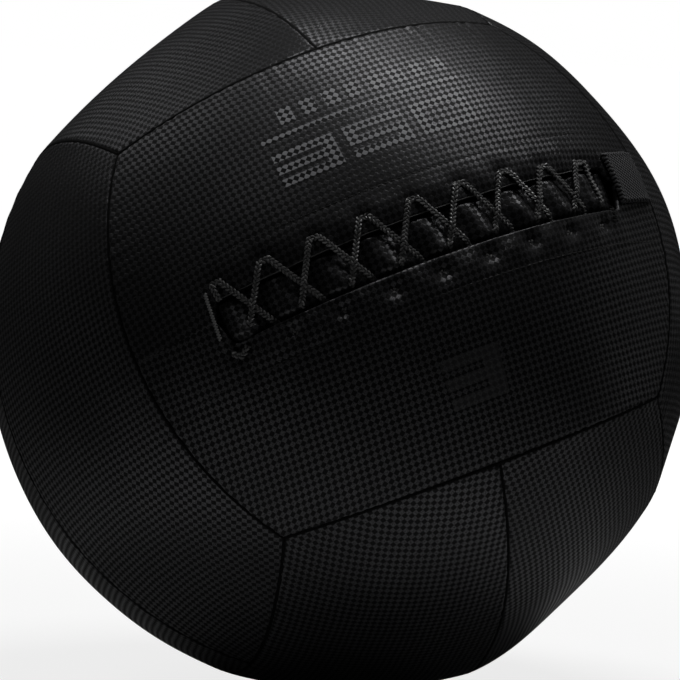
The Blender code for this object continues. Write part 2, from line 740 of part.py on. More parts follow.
def build_cover(stance):
    """The ten plain panels and the two beside the slit."""
    columns = panel_columns([], [PANEL_COLUMNS])
    rows = panel_rows([], [PANEL_ROWS])
    plain = {
        "back_upper_panel": (1, 1, 1),
        "back_lower_panel": (1, 1, -1),
        "top_left_panel": (2, 1, -1),
        "top_right_panel": (2, 1, 1),
        "base_right_panel": (2, -1, 1),
        "left_front_panel": (0, -1, -1),
        "left_back_panel": (0, -1, 1),
        "right_front_panel": (0, 1, -1),
        "right_back_panel": (0, 1, 1),
    }
    for name, face in plain.items():
        add_piece(name, plain_panel(face, columns, rows, name), PANEL_FINISH, stance)
    for name, sign, edge, row in (
            ("upper", 1, SLIT_UPPER_EDGE, UPPER_HOLE_ROW),
            ("lower", -1, SLIT_LOWER_EDGE, -LOWER_HOLE_ROW)):
        cutters = hole_cutters(row, name + "_hole_cutters", stance)
        panel_name = "front_" + name + "_panel"
        panel = add_piece(panel_name, front_panel((1, -1, sign), edge, panel_name), PANEL_FINISH, stance)
        cut_with(panel, cutters)
        strip = add_piece(name + "_facing", facing(sign, edge, name + "_facing"), FACING_FINISH, stance)
        cut_with(strip, cutters)


def build_resting_panel(stance):
    """The panel that the ball lies on, cut flat where it meets the floor."""
    down = resting_direction()
    outwards = -down.z
    rest_longitude = math.atan2(down.y, outwards)
    rest_share = across_share_at(outwards, -down.x)
    reach = REST_FINE_REACH / BALL_RADIUS
    share_reach = REST_FINE_REACH / PANEL_ARC_WIDTH
    coarse = PANEL_COLUMNS // 2
    columns = panel_columns(
        [rest_longitude - reach, rest_longitude + reach], (coarse + 1, REST_FINE_COLUMNS, coarse - 3))
    rows = panel_rows([rest_share - share_reach, rest_share + share_reach], (1, REST_FINE_ROWS, 1))
    name = "base_left_panel"
    mesh = plain_panel(REST_FACE, columns, rows, name)
    rest_radius = surface_radius(outwards, down.y, down.x, REST_FACE) - REST_CUT_DEPTH
    cut_flat(mesh, down, rest_radius)
    add_piece(name, mesh, PANEL_FINISH, stance)
    return rest_radius


def build():
    """Build every piece, then set the ball down on the floor."""
    clear_scene()
    stance = bpy.data.objects.new("stance", None)
    bpy.context.collection.objects.link(stance)
    build_cover(stance)
    rest_radius = build_resting_panel(stance)
    add_piece("tongue", tongue("tongue"), PANEL_FINISH, stance)
    add_piece("lace", lace_curve("lace"), CORD_FINISH, stance)
    add_piece("webbing_tab", webbing_tab("webbing_tab"), WEBBING_FINISH, stance)
    felt_liner("felt_liner", stance)
    add_piece("stuffing_back", stuffing(False, "stuffing_back"), FIBRE_FINISH, stance)
    add_piece("stuffing_front", stuffing(True, "stuffing_front"), FIBRE_FINISH, stance)
    add_piece("core_bag", core_bag("core_bag"), BAG_FINISH, stance)
    add_piece("core_bag_tie", core_bag_tie("core_bag_tie"), TIE_FINISH, stance)
    add_piece("core_weight", core_weight("core_weight"), GRIT_FINISH, stance)
    stance.rotation_mode = "YXZ"
    stance.rotation_euler = (-LEAN_BACK, -SLIT_TILT, 0)
    stance.location = (0, 0, rest_radius)


build()
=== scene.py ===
"""A black wall ball: sewn coated-cloth cover with a laced slit, on a plain pale floor."""

import math

import bpy
import numpy as np
from mathutils import Matrix, Vector


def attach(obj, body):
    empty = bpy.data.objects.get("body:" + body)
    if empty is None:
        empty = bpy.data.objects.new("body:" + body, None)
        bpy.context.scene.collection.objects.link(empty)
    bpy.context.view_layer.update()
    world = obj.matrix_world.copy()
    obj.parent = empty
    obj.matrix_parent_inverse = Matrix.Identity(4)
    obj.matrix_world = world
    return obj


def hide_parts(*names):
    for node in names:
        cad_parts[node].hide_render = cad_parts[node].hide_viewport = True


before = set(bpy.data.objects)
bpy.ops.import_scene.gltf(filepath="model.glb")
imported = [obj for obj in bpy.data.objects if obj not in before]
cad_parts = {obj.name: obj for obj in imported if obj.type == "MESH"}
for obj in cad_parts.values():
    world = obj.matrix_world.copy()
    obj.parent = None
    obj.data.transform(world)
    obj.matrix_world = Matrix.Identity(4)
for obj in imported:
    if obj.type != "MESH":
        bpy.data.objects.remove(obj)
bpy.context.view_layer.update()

# The ball, in metres, as in the CAD.
BALL_RADIUS = 0.175
SEAM_RISE = 0.002
RIDGE_RADIUS = BALL_RADIUS + SEAM_RISE
WIDTH_ANGLE = math.radians(38.7)
END_ANGLE = math.pi / 2 - WIDTH_ANGLE
FLATNESS = 0.3
FRONT_DROP = RIDGE_RADIUS * FLATNESS * (1 - math.cos(WIDTH_ANGLE / 2))
CLOTH_THICKNESS = 0.0018
HEM_EDGE = 0.0009
PANEL_WIDTH = BALL_RADIUS * WIDTH_ANGLE
PANEL_LENGTH = BALL_RADIUS * END_ANGLE * 2
SEAM_GAP = 0.0002
LEAN_BACK = math.radians(22.0)
SLIT_TILT = math.radians(20.4)
REST_CUT = 0.0005

# The slit, along and across the front face from its middle. A pair is for the slit's upper side,
# then its lower side.
SLIT_LEFT = -0.1105
SLIT_RIGHT = 0.126
SLIT_TAPER = 0.0035
SLIT_EDGE = (0.0095, 0.0135)
SLIT_SINK = 0.0025
STITCH_ROW = (0.0295, 0.031)

# The lacing.
LACE_STITCHES = 9
LACE_PITCH = 0.026
LACE_CENTRE = 0.0005
LACE_BITE = 0.0042
LAST_BITE = 0.0085
FIRST_BITE = 0.008
FIRST_BITE_RISE = 0.0032
UPPER_HOLE_ROW = 0.0175
HOLE_FALL = 0.0042
HOLE_FALL_PLACE = 0.04
HOLE_FALL_RUN = 0.06
LOWER_HOLE_ROW = 0.0205
LACE_TAIL = 0.009
TAIL_DRIFT = 0.001
TAIL_HEM = 0.0098
LACE_STEP = 0.00042
LACE_LIFT = 0.00095
UNDER_HEM = 0.0056
BITE_RISE = 0.001
BITE_TURN = 0.0005
# The two pairs below are for the lower bites: all but the first, then the first.
BITE_BOW = (0.0004, 0.0026)
BITE_LIFT = (-1.05, 1.35)
STRAND_ROWS = np.array([158, 135, 112, 92, 60, 30, 0, -15, -40, -70, -95]) / 10000
STRAND_HEM = 0.0092
STRAND_FEET = ((-0.0122, 0.0048), (-0.0142, UNDER_HEM), (-0.018, UNDER_HEM))
HOLE_CLEARANCE = 0.0015
TAUT_DEPTH = 0.0026
TAUT_RUN = 0.0187
TAUT_LIFT = 0.0022
CROSSING = -0.0015
CROSSING_REACH = 0.0042
CROSSING_RISE = 0.0016
CROSSING_FALL = 0.0003
PLAIT_PITCH = 0.0066
PLAIT_SWING = 0.00112
PLAIT_RISE = 0.0005
PLY_RADIUS = 0.00056

# The tongue and the facings.
TONGUE_HALF_WIDTH = 0.034
TONGUE_LEFT = -0.128
TONGUE_RIGHT = 0.14
TONGUE_THICKNESS = 0.001
TONGUE_DIP = 0.00665
TONGUE_CREST = 0.0001
TONGUE_TIP = 0.0026
TONGUE_VALLEY = 0.005
PILLOW_LEAN = 0.25
PILLOW_SHIFT = 0.0012
PILLOW_POWER = 1.25
PILLOW_FOOT = 0.0175
PILLOW_FOOT_REACH = 0.0085
PILLOW_TOP = 0.0101
PILLOW_TOP_REACH = 0.003
TIP_FOOT = 0.01
TIP_REACH = 0.019
FOLD_HEIGHT = 0.0003
FOLD_LENGTH = 0.012
END_BULGE = 0.0025
END_BULGE_PLACE = -0.0985
END_BULGE_REACH = 0.0085
FACING_THICKNESS = 0.0009
FACING_GAP = 0.0002
FACING_SETBACK = 0.003
FACING_WIDTH = 0.033
FACING_END = 0.004

# The webbing tab.
TAB_RIGHT = BALL_RADIUS * END_ANGLE - 0.0025
TAB_LEFT = TAB_RIGHT - 0.03
TAB_WIDTH = 0.0265
TAB_CENTRE = 0.002
TAB_THICKNESS = 0.0022
TAB_GAP = 0.0004
TAB_ROLL = 0.0036
ROLL_RISE = 0.0006
ROLL_REACH = 0.0016
ROLL_YARN = 0.00008
ROLL_YARN_PITCH = 0.0021
ROLL_YARN_REACH = 0.002
TAB_EDGE = 0.0013
TAB_EDGE_REACH = 0.0009
SELVEDGE = 0.0007
SELVEDGE_REACH = 0.0005
EDGE_CORD = 0.00025
EDGE_CORD_PLACE = 0.0014
EDGE_CORD_REACH = 0.0006
TAB_SETTLE = 0.0012
TAB_SETTLE_PLACE = 0.022
TAB_SETTLE_REACH = 0.008

# Wear of the sewn cover: seams, puckers, slack and what the lacing does to the cloth.
SEAM_DEPTH = 0.0014
# The seam cord is painted shade: a near-black matte cord laid in each seam's groove where the groove's
# shadow falls.
SEAM_SHADE_CORD_RADIUS = 0.0014
SEAM_SHADE_CORD_DEPTH = 0.00138
HEM_ROUNDING = 0.0006
FLUSH_ROUNDING = 0.00015
PUCKER_HEIGHT = 0.00028
PUCKER_REACH = 0.0075
PUCKER_LENGTH = 0.0085
SLACK_HEIGHT = 0.00055
SLACK_LENGTH = 0.085
SLACK_REACH = 0.014
DIP = (0.0023, 0.0007)
DIP_REACH = (0.0125, 0.009)
DIMPLE = (0.0012, 0.0023)
DIMPLE_LENGTH = 0.003
DIMPLE_WIDTH = 0.004
PUFF_HEIGHT = 0.0011
PUFF_SHARE = (0.12, 0.5)
PUFF_ROW = (0.0205, 0.0225)
PUFF_WIDTH = 0.006
CREASE_HEIGHT = 0.00035
CREASE_LENGTH = 0.011
STITCH_SINK = 0.0001
SINK_WIDTH = 0.0011
FACING_STEP = 0.00003
STEP_WIDTH = 0.0008

# The stitches, and the two tacks: start, stop, half width, pitch and height above the cloth.
STITCH_LENGTH = 0.0031
STITCH_SPACE = 0.0007
ROW_END = 0.15
STITCH_DIVE = 0.0005
END_TACK = ((-0.1117, -0.009), (-0.1098, 0.0155), 0.0007, 0.0014, 0.0005)
SIDE_TACK = ((0.1165, -0.012), (0.1137, -0.0215), 0.002, 0.0021, 0.0002)

# The print: a numeral below the slit, and above it digits, a line and a row of bars.
# A numeral is given by its left, bottom, width, height, bar and upright; the line by its four sides.
NUMERAL = (-0.018, -0.0862, 0.0335, 0.0255, 0.006, 0.0105)
DIGITS = (-0.054, 0.0468, 0.033, 0.0185, 0.0042, 0.007)
DIGITS_PITCH = 0.039
RULE = (-0.056, 0.0625, 0.0728, 0.0752)
BARS_LEFT = -0.042 + 0.0136 * np.arange(8)
BARS_HEIGHTS = (0.08, 0.0898)
BAR_WIDTH = 0.0085
PRINT_STEP = 0.0012
PRINT_RISE = 0.00009
PRINT_DEPTH = 0.0004

# The camera, in the ball's axes.
VIEW_DIRECTION = Vector((-0.32631, -0.92811, -0.17924))
VIEW_UP = Vector((0.32441, -0.28806, 0.90099))
VIEW_RIGHT = Vector((0.88785, -0.23586, -0.39509))
VIEW_DISTANCE = BALL_RADIUS * 15.57
LENS = 287.4
SHIFT = (0.00088, -0.0037)
SENSOR_WIDTH = 36

# The surround, the floor, and the lamps: direction as the camera sees it, distance, size and power.
SURROUND = 0.016
# A pool of light is painted into the floor's colour: pale near this place in front of the ball, dim
# further out, and seen only by rays other than the camera's.
FLOOR_PAINTED_POOL_PLACE = (-0.03, -0.13, 0.0)
FLOOR_PAINTED_POOL_REACH = (0.17, 0.41)
FLOOR_PAINTED_POOL = (0.95, 0.12)
FLOOR_GLOW_REACH = (0.25, 1.1)
FLOOR_GLOW = (0.82, 1.0)
FLOOR_SEEN = 0.26
FLOOR_RADIUS = 9
FLOOR_SIDES = 64
FLOOR_DROP = 0.0004
LAMPS = {
    "overhead": ((0.2, 0.97, 0.01), 1.25, 0.7, 0.58, 8.0),
    "right_edge": ((0.95, 0.1, -0.55), 1.6, 0.35, 1.3, 0.5),
    "left_edge": ((-0.62, 0.7, -0.28), 1.6, 0.6, 0.8, 1.8),
    "left_fill": ((-0.6, 0.77, 0.2), 1.6, 0.7, 0.7, 0.78),
    "left_low": ((-0.92, 0.08, -0.45), 1.6, 0.5, 1, 0.1),
}

# Where the stuffing is full or slack: degrees round the ball as the camera sees it, height, reach.
LUMPS = (
    (296, 0.0042, 0.2),
    (341, -0.0026, 0.15),
    (146, -0.0012, 0.22),
    (108, 0.0026, 0.15),
)

# The weave, and the cloth's finish.
WEAVE_REPEAT = 0.00335
WEAVE_RELIEF = 0.00022
DOME_SHARE = 0.3
RAISED_YARN = 0.115
RAISED_ROUGHNESS = 0.28
YARNS = 5
CELL_EDGE = (-0.1, 0.12)
DOME_EDGE = (-0.25, 0.3)
DRIFT = 0.35
DRIFT_SCALE = 60.0
GRAIN_SCALE = 2600.0
PATCH_SCALE = 14.0
PATCH_TINT = (0.8, 1.2)
TWILL_SLANT = 0.7
TWILL_RIB = 1.6
TWILL_CROSS = 2.0

# Which of a face's own axes, outwards, along and across, are the ball's x, y and z.
FACE_AXES = {0: (0, 2, 1), 1: (1, 0, 2), 2: (2, 1, 0)}

# Panels of the cover: axis of the face, its sign, and the side of the face's middle line.
FACES = {
    "front_upper_panel": (1, -1, 1),
    "front_lower_panel": (1, -1, -1),
    "back_upper_panel": (1, 1, 1),
    "back_lower_panel": (1, 1, -1),
    "top_left_panel": (2, 1, -1),
    "top_right_panel": (2, 1, 1),
    "base_left_panel": (2, -1, -1),
    "base_right_panel": (2, -1, 1),
    "left_front_panel": (0, -1, -1),
    "left_back_panel": (0, -1, 1),
    "right_front_panel": (0, 1, -1),
    "right_back_panel": (0, 1, 1),
}
PANELS = list(FACES)
FRONT = PANELS[:2]

# How far each panel is drawn flat across its middle.
FLATTENING = dict.fromkeys(PANELS, FLATNESS)
FLATTENING.update(top_left_panel=0.5, top_right_panel=0.5, base_left_panel=0.1, base_right_panel=0.4)
FLATTENING.update(left_back_panel=0.1, right_front_panel=0.1)

# How wide each panel's edge rounds over: its long side, then its ends.
EDGE_ROUNDING = {
    "front_lower_panel": (0.0024, 0.0018),
    "base_left_panel": (0.0018, 0.001),
    "base_right_panel": (0.0018, 0.001),
    "left_front_panel": (0.001, 0.0018),
}
PLAIN_ROUNDING = (0.0018, 0.0018)

# Steps of the meshes, and the front panels' rows beside the slit.
PANEL_STEP = 0.0026
FRONT_STEP = 0.0014
HEM_ROWS = (0, 0.0002, 0.0005, 0.001, 0.0016)
LACED_ROWS = (0.0023, 0.0255, 0.0007)
LACED_WIDTH = 0.026
OUTER_STEP = 0.0021

CORNER = 1 / math.sqrt(3)
SEAM_RUN = Vector((math.cos(WIDTH_ANGLE) - CORNER, math.sin(WIDTH_ANGLE) - CORNER)).normalized()
RISE, LEAN = SEAM_RUN
OFFSET = CORNER * (RISE - LEAN)


def surface_radius(outwards, along, across, name):
    """Radius of the cover's plain form in a direction given in a face's own axes."""
    end_share = LEAN * np.abs(along) / (RISE * outwards - OFFSET)
    across_share = RISE * np.abs(across) / (OFFSET + LEAN * outwards)
    swing = (across_share - 0.5) * WIDTH_ANGLE
    drop = RIDGE_RADIUS * FLATTENING[name] * (1 - np.cos(WIDTH_ANGLE / 2) / np.cos(swing))
    if name in FRONT:
        near_slit = FRONT_DROP + (SLIT_SINK - FRONT_DROP) * (1 - 2 * across_share) ** 2
        drop = np.where(across_share < 0.5, near_slit, drop)
    return RIDGE_RADIUS - drop * (1 - end_share ** 2)


# The ball's stance, where the floor lies in the ball's axes, and the centre's height.
STANCE = Matrix.Rotation(-LEAN_BACK, 3, "X") @ Matrix.Rotation(-SLIT_TILT, 3, "Y")
DOWN = -(Matrix.Rotation(SLIT_TILT, 3, "Y") @ Matrix.Rotation(LEAN_BACK, 3, "X") @ Vector((0, 0, 1)))
REST_HEIGHT = float(surface_radius(-DOWN.z, DOWN.y, abs(DOWN.x), "base_left_panel")) - REST_CUT


def to_world(points, lowest=0.0):
    """Points from the ball's axes to the frame's, kept above the floor."""
    world = points @ np.array(STANCE).T
    world[..., 2] = np.maximum(world[..., 2] + REST_HEIGHT, lowest)
    return world


def smooth_share(value):
    """Value held between 0 and 1 and eased at both ends."""
    share = np.clip(value, 0, 1)
    return share * share * (3 - 2 * share)


def bell(value, width):
    """One at zero, falling smoothly to nothing on both sides."""
    return np.exp(-(value / width) ** 2)


def ripple(parts, length, seed, count=9):
    """Smooth unevenness over places in space, of about one length of wave."""
    chance = np.random.default_rng(seed)
    places = np.stack(parts, axis=-1)
    total = 0
    for _ in range(count):
        direction = chance.normal(size=3)
        direction /= np.linalg.norm(direction)
        wave = length * chance.uniform(0.7, 1.4)
        total = total + np.sin(math.tau * (places @ direction / wave + chance.uniform()))
    return total / math.sqrt(count)


def ripple_along(place, length, seed, count=5):
    """Smooth unevenness along one line."""
    chance = np.random.default_rng(seed)
    total = 0
    for _ in range(count):
        wave = length * chance.uniform(0.65, 1.6)
        total = total + np.sin(math.tau * (place / wave + chance.uniform()))
    return total / math.sqrt(count)


def hole_row(place, upper):
    """Where a hole lies across the slit: the upper ones are nearer to it by the tab."""
    if not upper:
        return -LOWER_HOLE_ROW
    return UPPER_HOLE_ROW - HOLE_FALL * float(smooth_share((place - HOLE_FALL_PLACE) / HOLE_FALL_RUN))


def bites():
    """Each bite of the lace into an edge, in order: where it enters, where it leaves, and the row."""
    middle = (LACE_STITCHES - 1) / 2
    half = LACE_BITE / 2
    outbound = []
    homeward = []
    for index in range(LACE_STITCHES):
        place = LACE_CENTRE + (index - middle) * LACE_PITCH
        outbound.append((place - half, place + half, hole_row(place, index % 2)))
        homeward.append((place + half, place - half, hole_row(place, (index + 1) % 2)))
    _, leave, row = outbound[0]
    outbound[0] = (leave - FIRST_BITE, leave, row + FIRST_BITE_RISE)
    _, leave, row = homeward[-1]
    homeward[-1] = (leave + LAST_BITE, leave, row)
    return outbound + homeward[::-1]


def slit_openness(along):
    """Share by which the slit is open at places along it."""
    return np.clip(np.minimum(along - SLIT_LEFT, SLIT_RIGHT - along) / SLIT_TAPER, 0, 1)


def slit_edge(along, upper):
    """Distance of a slit edge from the slit's line."""
    wide = np.where(upper, *SLIT_EDGE)
    return SEAM_GAP / 2 + (wide - SEAM_GAP / 2) * slit_openness(along)


def lacing_depth(along, across):
    """How far the lacing draws the cloth beside the slit below its plain form."""
    upper = across > 0
    reach = np.abs(across)
    openness = slit_openness(along)
    beyond = np.maximum(reach - slit_edge(along, upper), 0)
    scoop = 0.5 - 0.5 * np.cos(math.tau * (along - LACE_CENTRE) / LACE_PITCH)
    drawn = np.clip(1 - beyond / np.where(upper, *DIP_REACH), 0, 1) ** 2
    depth = openness * np.where(upper, *DIP) * (0.8 + 0.35 * scoop) * drawn
    for enter, leave, row in bites():
        beside = (along - (enter + leave) / 2) / (DIMPLE_LENGTH + abs(enter - leave) / 2)
        squared = beside ** 2 + ((across - row) / DIMPLE_WIDTH) ** 2
        depth = depth + DIMPLE[row < 0] * np.exp(-squared)
    band = bell(reach - np.where(upper, *PUFF_ROW), PUFF_WIDTH)
    depth = depth - openness * PUFF_HEIGHT * np.where(upper, *PUFF_SHARE) * scoop * band
    fading = np.exp(-beyond / CREASE_LENGTH) * openness
    depth = depth + CREASE_HEIGHT * ripple((along, across, 0 * along), CREASE_LENGTH, 71) * fading
    past_row = reach - np.where(upper, *STITCH_ROW)
    depth = depth + STITCH_SINK * bell(past_row, SINK_WIDTH)
    return depth - FACING_STEP / (1 + np.exp(np.clip(past_row / STEP_WIDTH, -40, 40)))


def in_ball_axes(name, outwards, along, across):
    """A panel's directions from its face's own axes to the ball's."""
    axis, sign, across_sign = FACES[name]
    parts = sign * outwards, along, across_sign * across
    return np.stack([parts[place] for place in FACE_AXES[axis]], axis=-1)


def swell(name, outwards, along, across):
    """How far the stuffing pushes the cover out at a panel's directions."""
    direction = in_ball_axes(name, outwards, along, across)
    total = np.zeros_like(outwards)
    for degrees, height, reach in LUMPS:
        angle = math.radians(degrees)
        centre = VIEW_RIGHT * math.cos(angle) + VIEW_UP * math.sin(angle)
        squared = 2 - 2 * (direction @ np.array(centre))
        total = total + height * np.exp(-squared / reach ** 2)
    return total


def edge_fall(distance, width):
    """How far a panel's edge rounds down at distances from its seam."""
    share = np.clip(1 - np.maximum(distance, 0) / width, 0, 1)
    return np.minimum(width, SEAM_DEPTH) * (1 - np.sqrt(1 - share ** 2))


def cover_depth(name, outwards, along, across):
    """How far a panel's cloth lies below the plain form, in its face's own axes."""
    seed = 10 * PANELS.index(name)
    front = name in FRONT
    sign = FACES[name][2]
    longitude = BALL_RADIUS * np.arctan2(along, outwards)
    latitude = BALL_RADIUS * np.arcsin(across)
    side = BALL_RADIUS * (OFFSET + LEAN * outwards - RISE * across)
    end = BALL_RADIUS * (RISE * outwards - LEAN * np.abs(along) - OFFSET)
    middle = latitude
    inner = PLAIN_ROUNDING[0]
    if front:
        middle = latitude - slit_edge(longitude, sign > 0)
        open_here = slit_openness(longitude)
        inner = HEM_ROUNDING * open_here + FLUSH_ROUNDING * (1 - open_here)
    nearest = np.maximum(np.minimum(np.minimum(side, end), middle), 0)
    side_width, end_width = EDGE_ROUNDING.get(name, PLAIN_ROUNDING)
    depth = np.maximum(edge_fall(side, side_width), edge_fall(end, end_width))
    depth = np.maximum(depth, edge_fall(middle, inner))
    seams = [(side, longitude, 1), (end, latitude, 2)]
    if not front:
        seams.append((middle, longitude, 3))
    for distance, place, step in seams:
        uneven = ripple_along(place, PUCKER_LENGTH, seed + step)
        gathers = 0.6 + 0.4 * ripple_along(place, 0.05, seed + step + 4)
        fading = np.exp(-np.maximum(distance, 0) / PUCKER_REACH)
        depth = depth + PUCKER_HEIGHT * gathers * uneven * fading
    parts = [BALL_RADIUS * part for part in (outwards, along, across * sign)]
    slack = SLACK_HEIGHT * ripple(parts, SLACK_LENGTH, seed + 9)
    depth = depth + slack * (1 - np.exp(-nearest / SLACK_REACH)) - swell(name, outwards, along, across)
    if front:
        depth = depth + lacing_depth(longitude, latitude * sign)
    return depth


def front_direction(along, across):
    """Unit direction of a place on the front face."""
    longitude = along / BALL_RADIUS
    latitude = across / BALL_RADIUS
    return np.cos(latitude) * np.cos(longitude), np.cos(latitude) * np.sin(longitude), np.sin(latitude)


def front_depth(along, across):
    """Depth of the front cloth's outer side."""
    outwards, sideways, upwards = front_direction(along, across)
    place = outwards, sideways, np.abs(upwards)
    sides = [cover_depth(name, *place) for name in FRONT]
    return np.where(across > 0, *sides)


def front_place(along, across, depth):
    """Places on the front face, in the ball's axes, at a depth below its plain form."""
    outwards, sideways, upwards = front_direction(along, across)
    radius = surface_radius(outwards, sideways, upwards, FRONT[0]) - depth
    return np.stack([sideways * radius, -outwards * radius, upwards * radius], axis=-1)


def on_cover(along, across, above):
    """Places on the front cloth, a little above its outer side."""
    return front_place(along, across, front_depth(along, across) - above)


def graded(length, step, close=(0.0, 0.0003, 0.0007, 0.0012, 0.002, 0.0032)):
    """Places from 0 to a length, closer together at both ends."""
    first = close[-1]
    count = max(2, round((length - 2 * first) / step))
    between = np.linspace(first, length - first, count + 1)
    return np.concatenate([close[:-1], between, length - np.array(close[:-1])[::-1]])


def new_mesh(points, faces, weave):
    """Mesh of points and faces, with their places on the cloth if there are any."""
    mesh = bpy.data.meshes.new("piece")
    mesh.from_pydata(points.tolist(), [], [list(map(int, face)) for face in faces])
    mesh.update()
    if len(weave):
        corners = np.empty(len(mesh.loops), dtype=np.int64)
        mesh.loops.foreach_get("vertex_index", corners)
        layer = mesh.uv_layers.new(name="weave")
        layer.data.foreach_set("uv", (weave[corners] / WEAVE_REPEAT).ravel())
    mesh.polygons.foreach_set("use_smooth", [True] * len(mesh.polygons))
    mesh.set_sharp_from_angle(angle=math.radians(55))
    return mesh


def shell_parts(outer, inner, weave):
    """Points, faces and cloth places of a closed sheet between two grids."""
    columns, rows = outer.shape[:2]
    count = columns * rows
    index = np.arange(count).reshape(columns, rows)
    quads = np.stack([index[:-1, :-1], index[1:, :-1], index[1:, 1:], index[:-1, 1:]], axis=-1)
    quads = quads.reshape(-1, 4)
    ring = np.concatenate([index[:-1, 0], index[-1, :-1], index[:0:-1, -1], index[0, :0:-1]])
    after = np.roll(ring, -1)
    rim = np.stack([ring, ring + count, after + count, after], axis=-1)
    faces = np.concatenate([quads, quads[:, ::-1] + count, rim])
    points = np.concatenate([outer.reshape(-1, 3), inner.reshape(-1, 3)])
    middle = quads[len(quads) // 2]
    a, b, c = points[middle[:3]]
    if np.dot(np.cross(b - a, c - a), a - points[middle[0] + count]) < 0:
        faces = faces[:, ::-1]
    return points, faces, np.concatenate([weave.reshape(-1, 2)] * 2)


def joined_mesh(parts):
    """One mesh of several parts' points, faces and cloth places."""
    points, faces, weave = zip(*parts)
    starts = np.cumsum([0] + [len(part) for part in points])
    moved = [[v + start for v in face] for part, start in zip(faces, starts) for face in part]
    return new_mesh(np.concatenate(points), moved, np.concatenate(weave))


def front_sheet(along, across, top, bottom, weave):
    """Mesh of one closed sheet on the front face, between two depths."""
    outer, inner = (to_world(front_place(along, across, depth)) for depth in (top, bottom))
    return new_mesh(*shell_parts(outer, inner, np.stack(weave, axis=-1)))


def place_object(name, data):
    """A new object in the scene."""
    item = bpy.data.objects.new(name, data)
    bpy.context.collection.objects.link(item)
    return item


def add(name, mesh, material, replaced=None):
    """One piece of the ball, riding on its only body."""
    mesh.name = name
    mesh.materials.append(material)
    piece = place_object(name, mesh)
    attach(piece, "root")
    if replaced:
        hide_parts(replaced)
    return piece


def panel_grid(name):
    """Directions of a panel's grid in its face's own axes."""
    front = name in FRONT
    step = FRONT_STEP if front else PANEL_STEP
    columns = graded(PANEL_LENGTH, step) - PANEL_LENGTH / 2
    longitude = columns / BALL_RADIUS
    end_share = LEAN * np.sin(longitude) / (RISE * np.cos(longitude) - OFFSET)
    end_share = end_share * (1 - SEAM_GAP / PANEL_LENGTH)
    if front:
        upper = name == FRONT[0]
        outer = graded(PANEL_WIDTH - LACED_WIDTH, OUTER_STEP)[5:] + LACED_WIDTH
        rows = np.concatenate([HEM_ROWS, np.arange(*LACED_ROWS), outer]) / PANEL_WIDTH
        edge = slit_edge(columns, upper) / BALL_RADIUS
        first = RISE * np.sin(edge) / (OFFSET + LEAN * np.cos(edge) * np.cos(longitude))
    else:
        rows = graded(PANEL_WIDTH, step) / PANEL_WIDTH
        first = np.full_like(columns, SEAM_GAP / 2 / PANEL_WIDTH)
    last = 1 - SEAM_GAP / 2 / PANEL_WIDTH
    across_share = first[:, None] + (last - first[:, None]) * rows[None, :]
    end_share = np.broadcast_to(end_share[:, None], across_share.shape)
    along_rate = end_share * RISE / LEAN
    across_rate = across_share * LEAN / RISE
    near = OFFSET / RISE
    far = OFFSET / LEAN
    square = along_rate ** 2 + 1 + across_rate ** 2
    linear = across_rate ** 2 * far - along_rate ** 2 * near
    constant = (along_rate * near) ** 2 + (across_rate * far) ** 2 - 1
    outwards = (np.sqrt(linear ** 2 - square * constant) - linear) / square
    return outwards, along_rate * (outwards - near), across_rate * (outwards + far)


def cloth_places(name, outwards, along, across):
    """Places of a panel's directions on its flat cloth."""
    lift = math.radians(7.0) if name in FRONT else WIDTH_ANGLE / 2
    forward = outwards * math.cos(lift) + across * math.sin(lift)
    upward = across * math.cos(lift) - outwards * math.sin(lift)
    latitude = np.arcsin(upward)
    longitude = np.arctan2(along, forward)
    shift = 0.37 * PANELS.index(name) * WEAVE_REPEAT
    turned = BALL_RADIUS * longitude * np.cos(latitude) + shift
    return np.stack([turned, BALL_RADIUS * latitude], axis=-1)


def hem_thinning(name, outwards, along, across):
    """How much thinner a front panel is along its hem than in its middle."""
    if name not in FRONT:
        return np.zeros_like(outwards)
    longitude = BALL_RADIUS * np.arctan2(along, outwards)
    beyond = BALL_RADIUS * np.arcsin(across) - slit_edge(longitude, name == FRONT[0])
    return (CLOTH_THICKNESS - HEM_EDGE) * slit_openness(longitude) * (1 - smooth_share(beyond / 0.006))


def panel_mesh(name):
    """One sewn panel of the cover as a closed sheet."""
    place = panel_grid(name)
    plain = surface_radius(*place, name)
    top = plain - cover_depth(name, *place)
    bottom = np.minimum(top - CLOTH_THICKNESS, plain - CLOTH_THICKNESS + swell(name, *place))
    bottom = np.minimum(bottom + hem_thinning(name, *place), top - HEM_EDGE)
    direction = in_ball_axes(name, *place)
    outer = to_world(direction * top[..., None])
    inner = to_world(direction * bottom[..., None], CLOTH_THICKNESS)
    return new_mesh(*shell_parts(outer, inner, cloth_places(name, *place)))


def seam_shade_paths():
    """Centre lines of the cord in every seam's groove, a near-black cord that is painted shade."""
    paths = []
    for name in PANELS:
        grid = panel_grid(name)
        chosen = np.unique(np.linspace(0, grid[0].shape[0] - 1, 56).astype(int))
        for row in (-1,) if name in FRONT or FACES[name][2] < 0 else (-1, 0):
            line = [part[chosen, row] for part in grid]
            radius = surface_radius(*line, name) + swell(name, *line) - SEAM_SHADE_CORD_DEPTH
            paths.append(in_ball_axes(name, *line) * radius[:, None])
    return paths


